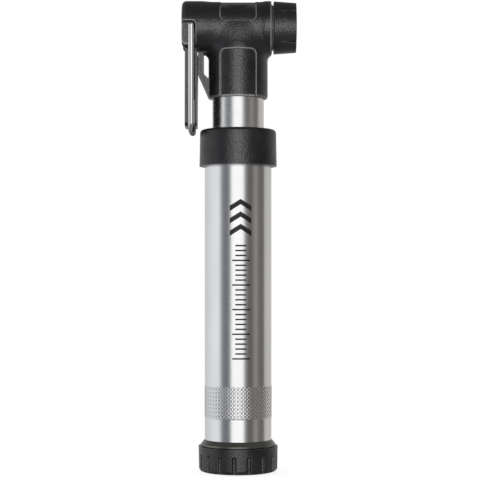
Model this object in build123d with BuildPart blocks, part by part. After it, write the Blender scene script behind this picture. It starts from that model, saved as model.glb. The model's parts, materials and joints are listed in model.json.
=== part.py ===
from build123d import *
import os

# Mini pump for bicycle tyres: a telescoping barrel and tube, a head with a
# lever-locked screw chuck, and a twist knob that vents the large chamber.
# Frame: +Z up the pump's axis, origin at the centre of the knob's underside,
# +X along the chuck towards the valve, so the lever hangs at -X.

# ---------------------------------------------------------------- clearances
press_gap = 0.02  # pieces pressed, glued or screwed together
running_gap = 0.06  # pieces that slide or turn in each other
seal_gap = 0.05  # rubber section to the wall that it runs on
face_gap = 0.15  # flat faces that turn past each other
piston_gap = 0.1  # pistons to the walls that their seals run on
groove_side_gap = 0.1  # each side of a seal in its groove
blind_gap = 0.2  # end of a stud, screw or pin to the bottom of its hole
overshoot = 1.0  # cutters run this far past the surface that they cut

# ---------------------------------------------------------------- barrel, tube
barrel_diameter = 24.0
barrel_wall = 1.0
barrel_length = 108.1
knurl_start = 8.0  # above the barrel's lower end
knurl_length = 11.8
knurl_height = 0.12
tube_diameter = 18.5
tube_wall = 1.0
tube_reveal = 11.2  # tube showing between collar and head when closed

# ---------------------------------------------------------------- knob, end plug
knob_height = 9.1
knob_gap = 0.2  # knob's top to the end plug's flange
knob_overhang = 2.3  # knob's radius beyond the barrel's
knob_draft = 0.2
knob_foot_fillet = 1.4
knob_rim_fillet = 0.45
flute_count = 17
flute_radius = 0.95
flute_height = 6.6
flute_depth = 0.85
flute_phase = 10.2  # degrees from +X to a flute
plug_flange_height = 2.0
plug_flange_overhang = 1.35
plug_band_height = 0.6
plug_flange_margin = 0.2  # flange's upper edge beyond the barrel
plug_spigot_height = 6.7
plug_tail_height = 3.8
plug_tail_step = 2.0  # barrel's bore down to the tail
plug_seal_section = 1.4
rod_seat_floor = 1.2
selector_turn = 90.0  # degrees from closed vent to open vent
vent_inset = 2.5  # tail's edge to the vent's centre
vent_radius = 0.8
knob_vent_radius = 1.0
port_seal_section = 0.9
port_seal_margin = 0.2  # vent's edge to its seal
port_seal_proud = 0.05
stop_pin_radius = 1.0
stop_pin_length = 5.2
stop_pin_reach = 1.8  # length in the knob
stop_pin_fillet = 0.2
stop_slot_gap = 0.25
knob_screw_radius = 1.5
knob_screw_length = 5.5
shoulder_radius = 2.2
screw_head_radius = 3.6
screw_head_height = 1.5
screw_recess_depth = 2.3
screw_recess_gap = 0.3
washer_thickness = 0.2
washer_gap = 0.05
hex_radius = 1.45
hex_depth = 1.1

# ---------------------------------------------------------------- collar
collar_height = 13.1
collar_overlap = 9.6  # length of barrel inside the collar
collar_wall = 1.93
collar_draft = 0.25
collar_rim_fillet = 1.2
collar_foot_fillet = 0.35
collar_mouth_gap = 0.35
bush_sleeve_length = 8.0
bush_flange_height = 1.5
wiper_height = 1.25

# ---------------------------------------------------------------- rod, pistons
rod_radius = 3.5
rod_stud_radius = 2.5
piston_height = 5.6
piston_screw_radius = 1.3
piston_screw_head_radius = 3.2
piston_screw_head_height = 2.0
piston_screw_grip = 8.0
piston_seal_section = 1.8
tail_piston_height = 10.2
tail_piston_floor = 3.2
tail_seal_section = 1.4
tail_seal_margin = 0.8  # tail piston's lower face to its seal
rod_air_gap = 1.1  # ring round the rod that the air passes through
bump_ring_height = 2.5
bump_ring_gap = 0.4
bump_ring_fillet = 0.5
closed_margin = 0.8  # end plug to tail piston when closed
top_margin = 1.0  # piston screw to valve seat when closed

# ---------------------------------------------------------------- head
stem_wall = 1.4
stem_rise = 25.7  # stem's lower edge to the chuck's axis
stem_chamfer = 0.9
housing_wall = 3.3
housing_flare = 0.3
flare_run = 2.0
tail_flare_reach = 4.9  # pivot to where the flare starts to fall
nose_flare_inset = 0.5  # stem's side to where the flare is full
housing_tail = 3.6  # housing beyond the lever's pivot
housing_tail_fillet = 1.6
housing_nose = 1.3  # housing beyond the stem
housing_nose_fillet = 0.4
dome_sink = 0.75  # stem's top inside the housing's wall
dome_drop = 0.8  # stem's top below the chuck's axis
socket_roof = 4.85  # tube socket to the chuck's bore
panel_half_width = 6.4
lower_panel_depth = 0.35
upper_panel_depth = 0.15
panel_corner = 1.7
lower_panel_drop = 8.9  # chuck's axis to the lower panel's upper edge
upper_panel_rise = 1.5  # chuck's axis to the upper panel's lower edge
gusset_width = 8.0
gusset_thickness = 2.0
gusset_gap = 0.1  # closed lever to the gusset
gusset_drop = 7.6  # chuck housing down to the gusset's bend
gusset_root = 1.2  # height of the gusset inside the housing
gusset_foot_rise = 0.3
gusset_overlap = 2.0  # gusset into the stem
window_slope = 1.7
seam_radius = 0.8  # where the stem runs into the housing
spring_shelf_rise = 2.45  # tube socket's end to the valve spring's seat

# ---------------------------------------------------------------- chuck
valve_stem_radius = 3.85
chuck_bore_radius = 6.0
thread_wall = 1.2
thread_length = 5.6
thread_gap = 0.1
neck_step = 0.95
cap_gap = 0.8
cap_length = 8.1
cap_wall = 2.2
cap_draft = 0.6
cap_fillet = 0.3
cap_thread_margin = 0.4
cap_notch_count = 5
cap_notch_phase = 149.0  # degrees about the chuck's axis from +Y
cap_notch_depth = 1.2
cap_notch_half_width = 1.1
cap_notch_length = 5.6
cap_notch_lip = 0.6  # notch cutter's reach beyond the cap
cap_notch_tip_depth = 0.2
cap_notch_tip_half_width = 0.15
mouth_clearance = 0.45
mouth_length = 1.9
gasket_length = 4.25
gasket_squeeze = 0.15
gasket_back_bore_radius = 2.4
gasket_back_length = 1.7
gasket_side_gap = 0.15
gasket_fillet = 0.3
gasket_gap = 0.2  # gasket to the plunger, once the cam's throw is used
plunger_tail_radius = 3.6
plunger_tail_length = 7.3
plunger_seal_section = 1.5
plunger_seal_reach = 4.1  # plunger's back face to its seal
plunger_neck_wall = 1.0
plunger_flange_length = 5.3
air_hole_count = 6
air_hole_radius = 0.7
air_hole_inset = 2.2
pin_seat_depth = 3.8
valve_pin_radius = 1.0
valve_pin_reach = 3.3  # beyond the plunger's front face

# ---------------------------------------------------------------- lever
pivot_drop = 0.2  # pivot below the chuck's axis
lever_gap = 0.8  # lever to collar
lever_inner_depth = 2.1  # pivot to the lever's inner face
lever_outer_depth = 2.4
lever_heel_fillet = 1.4
lever_back_fillet = 0.6
hub_neck_inset = 0.4
hub_overlap = 2.0  # lever's hub into its blade
blade_side_gap = 0.1  # lever's blade to the wire
blade_clearance = 0.5  # lever's blade to the cheeks that it swings round
lever_taper = 0.25
cam_radius = 4.6
cam_eccentricity = 0.6
cheek_half_gap = 5.0
hub_side_gap = 0.25
slot_margin = 0.4  # lever to the edges of its slot
cheek_thickness = 1.85
wire_diameter = 2.4
pin_grip = 2.3  # length of each wire end inside the lever's hub
wire_side_gap = 0.25
wire_bend_radius = 3.0
bail_reach = 37.1  # pivot down to the crossbar's centre

# ---------------------------------------------------------------- non-return valve
valve_port_radius = 1.5
poppet_radius = 2.7
poppet_thickness = 0.95
poppet_side_gap = 0.6
valve_seat_flange = 1.5
valve_seat_spigot = 5.8
seat_seal_section = 1.4
seat_seal_rise = 2.7  # valve seat's lower face to its seal
valve_chamber_depth = 2.9
spring_wire_radius = 0.2
spring_inset = 0.6  # poppet's edge to the spring
spring_turns = 5
spigot_gap = 0.7  # spring to the poppet's spigot
spigot_taper = 0.3
spigot_height = 1.2
air_way_radius = 1.8

# ---------------------------------------------------------------- worked out
barrel_radius = barrel_diameter / 2
barrel_bore = barrel_radius - barrel_wall
tube_radius = tube_diameter / 2
tube_bore = tube_radius - tube_wall
knob_radius = barrel_radius + knob_overhang

flange_bottom = knob_height + knob_gap
barrel_bottom = flange_bottom + plug_flange_height
barrel_top = barrel_bottom + barrel_length
plug_bottom = flange_bottom - plug_tail_height
plug_top = barrel_bottom + plug_spigot_height
knob_floor = plug_bottom - face_gap
plug_tail_radius = barrel_bore - plug_tail_step
vent_pitch_radius = plug_tail_radius - vent_inset

collar_bottom = barrel_top - collar_overlap
collar_top = collar_bottom + collar_height
collar_bottom_radius = barrel_radius + press_gap + collar_wall
collar_top_radius = collar_bottom_radius - collar_draft
bush_top = barrel_top + bush_flange_height
wiper_top = bush_top + wiper_height
bush_bottom = barrel_top - bush_sleeve_length

tail_bottom = plug_top + closed_margin
tube_bottom = tail_bottom + tail_piston_floor
tail_top = tail_bottom + tail_piston_height

stem_bottom = collar_top + tube_reveal
socket_radius = tube_radius + press_gap
stem_radius = socket_radius + stem_wall
axis_height = stem_bottom + stem_rise
socket_top = axis_height - chuck_bore_radius - socket_roof
socket_depth = socket_top - stem_bottom
lower_panel_height = stem_rise - lower_panel_drop
seat_top = socket_top - press_gap
tube_top = seat_top - valve_seat_flange
seat_bottom = tube_top - valve_seat_spigot
piston_screw_top = seat_bottom - top_margin
piston_top = piston_screw_top - piston_screw_head_height
rod_top = piston_top - piston_height

pivot_x = -(collar_top_radius + lever_gap + lever_inner_depth)
pivot_z = axis_height - pivot_drop
housing_radius = chuck_bore_radius + housing_wall
housing_left = pivot_x - housing_tail
housing_right = stem_radius + housing_nose
housing_end_radius = housing_radius + housing_flare
housing_bottom = axis_height - housing_radius
dome_radius = housing_radius - dome_sink
cheek_face = cheek_half_gap + cheek_thickness
hub_half_width = cheek_half_gap - hub_side_gap
lever_half_width = cheek_face + wire_side_gap - blade_side_gap
lever_shoulder = (housing_end_radius**2 - cheek_half_gap**2) ** 0.5 + blade_clearance
wire_radius = wire_diameter / 2
leg_offset = cheek_face + wire_side_gap + wire_radius
crossbar_z = pivot_z - bail_reach
pin_hole_radius = wire_radius + running_gap
cam_reach = cam_radius - cam_eccentricity
cam_throw = 2 * cam_eccentricity
cam_offset = cam_eccentricity * 2**0.5
cam_clearance_radius = cam_radius + cam_offset + slot_margin

thread_radius = chuck_bore_radius + thread_wall
neck_radius = thread_radius + neck_step
cap_inner_radius = thread_radius + thread_gap + cap_wall
cap_outer_radius = cap_inner_radius - cap_draft
mouth_radius = valve_stem_radius + mouth_clearance
gasket_bore_radius = valve_stem_radius - gasket_squeeze
cap_left = housing_right + cap_gap
cap_right = cap_left + cap_length
thread_end = housing_right + thread_length
cap_thread_end = thread_end + cap_thread_margin
mouth_left = cap_right - mouth_length
gasket_left = mouth_left - gasket_length
plunger_front = gasket_left - cam_throw - gasket_gap
plunger_back = pivot_x + cam_reach + running_gap
chuck_step = plunger_back + plunger_tail_length

gasket_radius = chuck_bore_radius - gasket_side_gap

valve_chamber_radius = poppet_radius + poppet_side_gap
spring_radius = poppet_radius - spring_inset

chuck_plane = Plane(origin=(0, 0, axis_height), x_dir=(1, 0, 0), z_dir=(0, -1, 0))
chuck_axis = Axis((0, 0, axis_height), (1, 0, 0))


def chuck_section(x):
    """Plane across the chuck at x, with its own x along +Y and its own y up."""
    return Plane(origin=(x, 0, axis_height), x_dir=(0, 1, 0), z_dir=(1, 0, 0))


def groove_floor(wall_radius, section):
    """Radius of the groove floor for a seal that runs on wall_radius."""
    return wall_radius - section - 2 * seal_gap


def seal_ring(wall_radius, section, plane):
    """Round-section rubber ring that runs on a wall, centred on a plane."""
    with BuildPart(plane) as ring:
        Torus(wall_radius - seal_gap - section / 2, section / 2)
    return ring.part


def save(part, name):
    """Label a finished piece and write it as a STEP file."""
    part.label = name
    export_step(part, f"parts/{name}.step")


os.makedirs("parts", exist_ok=True)

# ================================================================ barrel side
# Barrel: drawn tube with a raised band where the knurl is rolled.
with BuildPart() as barrel:
    with BuildSketch(Plane.XY.offset(barrel_bottom)):
        Circle(barrel_radius)
        Circle(barrel_bore, mode=Mode.SUBTRACT)
    extrude(amount=barrel_length)
    with BuildSketch(Plane.XY.offset(barrel_bottom + knurl_start)):
        Circle(barrel_radius + knurl_height)
        Circle(barrel_radius - barrel_wall / 2, mode=Mode.SUBTRACT)
    extrude(amount=knurl_length)
save(barrel.part, "barrel")

# End plug: flange under the barrel, sealed spigot inside it, tail for the knob.
plug_spigot_radius = barrel_bore - press_gap
plug_groove_floor = groove_floor(barrel_bore, plug_seal_section)
plug_seal_z = barrel_bottom + plug_spigot_height / 2
plug_groove_low = plug_seal_z - plug_seal_section / 2 - groove_side_gap
plug_groove_high = plug_seal_z + plug_seal_section / 2 + groove_side_gap
flange_radius = barrel_radius + plug_flange_overhang
rod_seat_depth = plug_spigot_height - rod_seat_floor
port_seal_radius = vent_radius + port_seal_margin + port_seal_section

with BuildPart() as end_plug:
    with BuildSketch(Plane.XZ):
        Polygon(
            (0, plug_bottom),
            (plug_tail_radius, plug_bottom),
            (plug_tail_radius, flange_bottom),
            (flange_radius, flange_bottom),
            (flange_radius, flange_bottom + plug_band_height),
            (barrel_radius + plug_flange_margin, barrel_bottom),
            (plug_spigot_radius, barrel_bottom),
            (plug_spigot_radius, plug_groove_low),
            (plug_groove_floor, plug_groove_low),
            (plug_groove_floor, plug_groove_high),
            (plug_spigot_radius, plug_groove_high),
            (plug_spigot_radius, plug_top),
            (0, plug_top),
            align=None,
        )
    revolve(axis=Axis.Z)
    with BuildSketch(Plane.XY.offset(plug_top)):
        Circle(rod_stud_radius + press_gap)
    extrude(amount=-rod_seat_depth, mode=Mode.SUBTRACT)
    with BuildSketch(Plane.XY.offset(plug_bottom)):
        Circle(knob_screw_radius)
    extrude(amount=knob_screw_length, mode=Mode.SUBTRACT)
    with BuildSketch(Plane.XY.offset(plug_bottom)):
        with Locations((vent_pitch_radius, 0)):
            Circle(vent_radius)
    extrude(amount=plug_top - plug_bottom, mode=Mode.SUBTRACT)
    with BuildSketch(Plane.XY.offset(plug_bottom)):
        with Locations((vent_pitch_radius, 0)):
            Circle(port_seal_radius + press_gap)
    extrude(amount=port_seal_section, mode=Mode.SUBTRACT)
    with BuildSketch(Plane.XY.offset(plug_bottom)):
        with Locations((-vent_pitch_radius, 0)):
            Circle(stop_pin_radius + press_gap)
    extrude(amount=stop_pin_length - stop_pin_reach + blind_gap, mode=Mode.SUBTRACT)
save(end_plug.part, "end_plug")

save(
    seal_ring(barrel_bore, plug_seal_section, Plane.XY.offset(plug_seal_z)),
    "plug_o_ring",
)

# Vent seal: small ring in the plug's underside that the knob's floor closes.
port_seal_z = plug_bottom + port_seal_section / 2 - port_seal_proud
with BuildPart(Plane((vent_pitch_radius, 0, port_seal_z))) as vent_seal:
    Torus(port_seal_radius - port_seal_section / 2, port_seal_section / 2)
save(vent_seal.part, "vent_seal")

# Stop pin: pressed in the plug, runs in the knob's arc slot and limits its turn.
stop_pin_bottom = plug_bottom - stop_pin_reach
with BuildPart(Plane((-vent_pitch_radius, 0, stop_pin_bottom))) as stop_pin:
    Cylinder(
        stop_pin_radius,
        stop_pin_length,
        align=(Align.CENTER, Align.CENTER, Align.MIN),
    )
    fillet(stop_pin.edges().filter_by(GeomType.CIRCLE), stop_pin_fillet)
save(stop_pin.part, "stop_pin")

# Shoulder screw and spring washer that hold the knob on the plug.
shoulder_bottom = screw_recess_depth - washer_thickness - washer_gap
knob_screw_end = plug_bottom + knob_screw_length - blind_gap
with BuildPart() as knob_screw:
    with BuildSketch(Plane.XZ):
        Polygon(
            (0, shoulder_bottom - screw_head_height),
            (screw_head_radius, shoulder_bottom - screw_head_height),
            (screw_head_radius, shoulder_bottom),
            (shoulder_radius, shoulder_bottom),
            (shoulder_radius, plug_bottom),
            (knob_screw_radius - press_gap, plug_bottom),
            (knob_screw_radius - press_gap, knob_screw_end),
            (0, knob_screw_end),
            align=None,
        )
    revolve(axis=Axis.Z)
    with BuildSketch(Plane.XY.offset(shoulder_bottom - screw_head_height)):
        RegularPolygon(hex_radius, 6)
    extrude(amount=hex_depth, mode=Mode.SUBTRACT)
save(knob_screw.part, "knob_screw")

with BuildPart() as spring_washer:
    with BuildSketch(Plane.XY.offset(shoulder_bottom)):
        Circle(screw_head_radius)
        Circle(shoulder_radius + press_gap, mode=Mode.SUBTRACT)
    extrude(amount=washer_thickness)
save(spring_washer.part, "spring_washer")

# Plunger rod: screwed into the plug, carries the inner piston at its top.
rod_foot = plug_top - rod_seat_depth + blind_gap
with BuildPart() as plunger_rod:
    with BuildSketch(Plane.XZ):
        Polygon(
            (0, rod_foot),
            (rod_stud_radius, rod_foot),
            (rod_stud_radius, plug_top),
            (rod_radius, plug_top),
            (rod_radius, rod_top),
            (0, rod_top),
            align=None,
        )
    revolve(axis=Axis.Z)
    with BuildSketch(Plane.XY.offset(rod_top)):
        Circle(piston_screw_radius + press_gap)
    extrude(amount=-piston_screw_grip, mode=Mode.SUBTRACT)
save(plunger_rod.part, "plunger_rod")

piston_radius = tube_bore - piston_gap
piston_seal_z = (rod_top + piston_top) / 2
piston_groove = piston_seal_section / 2 + groove_side_gap
piston_groove_floor = groove_floor(tube_bore, piston_seal_section)
with BuildPart() as inner_piston:
    with BuildSketch(Plane.XZ):
        Polygon(
            (piston_screw_radius + press_gap, rod_top),
            (piston_radius, rod_top),
            (piston_radius, piston_seal_z - piston_groove),
            (piston_groove_floor, piston_seal_z - piston_groove),
            (piston_groove_floor, piston_seal_z + piston_groove),
            (piston_radius, piston_seal_z + piston_groove),
            (piston_radius, piston_top),
            (piston_screw_radius + press_gap, piston_top),
            align=None,
        )
    revolve(axis=Axis.Z)
save(inner_piston.part, "inner_piston")

save(
    seal_ring(tube_bore, piston_seal_section, Plane.XY.offset(piston_seal_z)),
    "inner_piston_o_ring",
)

piston_screw_end = rod_top - piston_screw_grip + blind_gap
with BuildPart() as piston_screw:
    with BuildSketch(Plane.XZ):
        Polygon(
            (0, piston_screw_end),
            (piston_screw_radius, piston_screw_end),
            (piston_screw_radius, piston_top),
            (piston_screw_head_radius, piston_top),
            (piston_screw_head_radius, piston_screw_top),
            (0, piston_screw_top),
            align=None,
        )
    revolve(axis=Axis.Z)
    with BuildSketch(Plane.XY.offset(piston_screw_top)):
        RegularPolygon(hex_radius, 6)
    extrude(amount=-hex_depth, mode=Mode.SUBTRACT)
save(piston_screw.part, "piston_screw")

# Guide bush: slippery sleeve in the barrel's mouth that the tube slides in.
guide_bore = tube_radius + running_gap
with BuildPart() as guide_bush:
    with BuildSketch(Plane.XZ):
        Polygon(
            (guide_bore, bush_bottom),
            (barrel_bore - press_gap, bush_bottom),
            (barrel_bore - press_gap, barrel_top),
            (barrel_radius - press_gap, barrel_top),
            (barrel_radius - press_gap, bush_top),
            (guide_bore, bush_top),
            align=None,
        )
    revolve(axis=Axis.Z)
save(guide_bush.part, "guide_bush")

with BuildPart() as wiper_ring:
    with BuildSketch(Plane.XY.offset(bush_top + press_gap)):
        Circle(barrel_bore)
        Circle(tube_radius + seal_gap, mode=Mode.SUBTRACT)
    extrude(amount=wiper_height - 2 * press_gap)
save(wiper_ring.part, "wiper_ring")

# Collar: screws over the barrel's end and holds bush and wiper in place.
with BuildPart() as collar:
    with BuildSketch(Plane.XZ) as collar_profile:
        Polygon(
            (barrel_radius + press_gap, collar_bottom),
            (collar_bottom_radius, collar_bottom),
            (collar_top_radius, collar_top),
            (tube_radius + collar_mouth_gap, collar_top),
            (tube_radius + collar_mouth_gap, wiper_top),
            (barrel_bore + press_gap, wiper_top),
            (barrel_bore + press_gap, bush_top),
            (barrel_radius + press_gap, bush_top),
            align=None,
        )
        corners = collar_profile.vertices()
        fillet(corners.group_by(Axis.Y)[-1].sort_by(Axis.X)[-1], collar_rim_fillet)
        fillet(corners.group_by(Axis.Y)[0].sort_by(Axis.X)[-1], collar_foot_fillet)
    revolve(axis=Axis.Z)
save(collar.part, "collar")

# ================================================================ mode knob
# Flute cutter: an upright finger with a round tip, for half-round flutes.
flute_arch = flute_height - flute_radius
flute_centre = knob_radius - flute_depth + flute_radius
with BuildPart() as flute_cutter:
    with BuildSketch(Plane.XY.offset(-overshoot)):
        with Locations((flute_centre, 0)):
            Circle(flute_radius)
    extrude(amount=flute_arch + overshoot)
    with Locations((flute_centre, 0, flute_arch)):
        Sphere(flute_radius)

screw_recess_radius = screw_head_radius + screw_recess_gap
stop_arc = CenterArc((0, 0), vent_pitch_radius, 180 - selector_turn, selector_turn)
with BuildPart() as mode_knob:
    with BuildSketch(Plane.XZ) as knob_profile:
        Polygon(
            (screw_recess_radius, 0),
            (knob_radius - knob_draft, 0),
            (knob_radius, knob_height),
            (plug_tail_radius + running_gap, knob_height),
            (plug_tail_radius + running_gap, knob_floor),
            (shoulder_radius + running_gap, knob_floor),
            (shoulder_radius + running_gap, screw_recess_depth),
            (screw_recess_radius, screw_recess_depth),
            align=None,
        )
        corners = knob_profile.vertices()
        fillet(corners.group_by(Axis.Y)[0].sort_by(Axis.X)[-1], knob_foot_fillet)
        fillet(corners.group_by(Axis.Y)[-1].sort_by(Axis.X)[-1], knob_rim_fillet)
    revolve(axis=Axis.Z)
    with PolarLocations(0, flute_count, start_angle=flute_phase):
        add(flute_cutter.part, mode=Mode.SUBTRACT)
    with BuildSketch(Plane.XY.offset(knob_floor)):
        SlotArc(stop_arc, 2 * (stop_pin_radius + stop_slot_gap))
    extrude(amount=stop_pin_bottom - knob_floor - blind_gap, mode=Mode.SUBTRACT)
    with BuildSketch(Plane.XY):
        with PolarLocations(vent_pitch_radius, 1, start_angle=-selector_turn):
            Circle(knob_vent_radius)
    extrude(amount=knob_floor, mode=Mode.SUBTRACT)
save(mode_knob.part, "mode_knob")

# ================================================================ head side
# Inner tube: fixed in the head, its lower end carries the tail piston.
with BuildPart() as inner_tube:
    with BuildSketch(Plane.XY.offset(tube_bottom)):
        Circle(tube_radius)
        Circle(tube_bore, mode=Mode.SUBTRACT)
    extrude(amount=tube_top - tube_bottom)
save(inner_tube.part, "inner_tube")

tail_seal_z = tail_bottom + tail_seal_margin + tail_seal_section / 2
tail_groove = tail_seal_section / 2 + groove_side_gap
tail_groove_floor = groove_floor(barrel_bore, tail_seal_section)
tail_radius = barrel_bore - piston_gap
with BuildPart() as tail_piston:
    with BuildSketch(Plane.XZ):
        Polygon(
            (rod_radius + rod_air_gap, tail_bottom),
            (tail_radius, tail_bottom),
            (tail_radius, tail_seal_z - tail_groove),
            (tail_groove_floor, tail_seal_z - tail_groove),
            (tail_groove_floor, tail_seal_z + tail_groove),
            (tail_radius, tail_seal_z + tail_groove),
            (tail_radius, tail_top),
            (tube_radius + press_gap, tail_top),
            (tube_radius + press_gap, tube_bottom),
            (rod_radius + rod_air_gap, tube_bottom),
            align=None,
        )
    revolve(axis=Axis.Z)
save(tail_piston.part, "tail_piston")

save(
    seal_ring(barrel_bore, tail_seal_section, Plane.XY.offset(tail_seal_z)),
    "tail_piston_o_ring",
)

# Bump ring: rubber that meets the guide bush at full stroke.
with BuildPart() as bump_ring:
    with BuildSketch(Plane.XY.offset(tail_top)):
        Circle(barrel_bore - bump_ring_gap)
        Circle(tube_radius + press_gap, mode=Mode.SUBTRACT)
    extrude(amount=bump_ring_height)
    top_edges = bump_ring.edges().group_by(Axis.Z)[-1]
    fillet(top_edges.sort_by(SortBy.RADIUS)[-1], bump_ring_fillet)
save(bump_ring.part, "bump_ring")

# Valve seat: closes the tube's top and holds the non-return valve.
seat_seal_z = seat_bottom + seat_seal_rise
seat_groove = seat_seal_section / 2 + groove_side_gap
seat_groove_floor = groove_floor(tube_bore, seat_seal_section)
seat_ledge = seat_top - valve_chamber_depth
with BuildPart() as valve_seat:
    with BuildSketch(Plane.XZ):
        Polygon(
            (valve_port_radius, seat_bottom),
            (tube_bore - press_gap, seat_bottom),
            (tube_bore - press_gap, seat_seal_z - seat_groove),
            (seat_groove_floor, seat_seal_z - seat_groove),
            (seat_groove_floor, seat_seal_z + seat_groove),
            (tube_bore - press_gap, seat_seal_z + seat_groove),
            (tube_bore - press_gap, tube_top),
            (tube_radius, tube_top),
            (tube_radius, seat_top),
            (valve_chamber_radius, seat_top),
            (valve_chamber_radius, seat_ledge),
            (valve_port_radius, seat_ledge),
            align=None,
        )
    revolve(axis=Axis.Z)
save(valve_seat.part, "valve_seat")

save(
    seal_ring(tube_bore, seat_seal_section, Plane.XY.offset(seat_seal_z)),
    "valve_seat_o_ring",
)

# Head body: chuck housing across the top of a stem, with a gusset at the lever.
spring_shelf = socket_top + spring_shelf_rise
gusset_x = pivot_x + lever_inner_depth + gusset_gap
gusset_top = housing_bottom + gusset_root
gusset_bend_z = housing_bottom - gusset_drop
gusset_foot_z = stem_bottom + gusset_foot_rise
gusset_inner_x = -stem_radius + gusset_overlap
window_x = gusset_x + gusset_thickness
window_floor_z = gusset_bend_z - window_slope
leg_reach = wire_radius + wire_side_gap
cut_reach = 2 * housing_radius

with BuildPart() as lower_panel:
    with BuildSketch(Plane.XZ) as lower_panel_outline:
        with Locations((0, stem_bottom - overshoot)):
            Rectangle(
                2 * panel_half_width,
                lower_panel_height + overshoot,
                align=(Align.CENTER, Align.MIN),
            )
        fillet(lower_panel_outline.vertices().group_by(Axis.Y)[-1], panel_corner)
    extrude(amount=stem_radius + overshoot, both=True)
    with BuildSketch(Plane.XY.offset(stem_bottom - overshoot)):
        Circle(stem_radius - lower_panel_depth)
    extrude(amount=lower_panel_height + 2 * overshoot, mode=Mode.SUBTRACT)

with BuildPart() as upper_panel:
    with BuildSketch(Plane.XZ) as upper_panel_outline:
        with Locations((0, axis_height + upper_panel_rise)):
            Rectangle(
                2 * panel_half_width,
                housing_radius + overshoot,
                align=(Align.CENTER, Align.MIN),
            )
        fillet(upper_panel_outline.vertices().group_by(Axis.Y)[0], panel_corner)
    extrude(amount=housing_radius + overshoot, both=True)
    with BuildSketch(chuck_section(-panel_half_width - overshoot)):
        Circle(housing_radius - upper_panel_depth)
    extrude(amount=2 * (panel_half_width + overshoot), mode=Mode.SUBTRACT)

core_left = housing_left + housing_tail_fillet
core_right = housing_right - housing_nose_fillet
tail_flare_end = pivot_x + tail_flare_reach
nose_flare_end = stem_radius - nose_flare_inset
dome_top = axis_height - dome_drop

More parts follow.
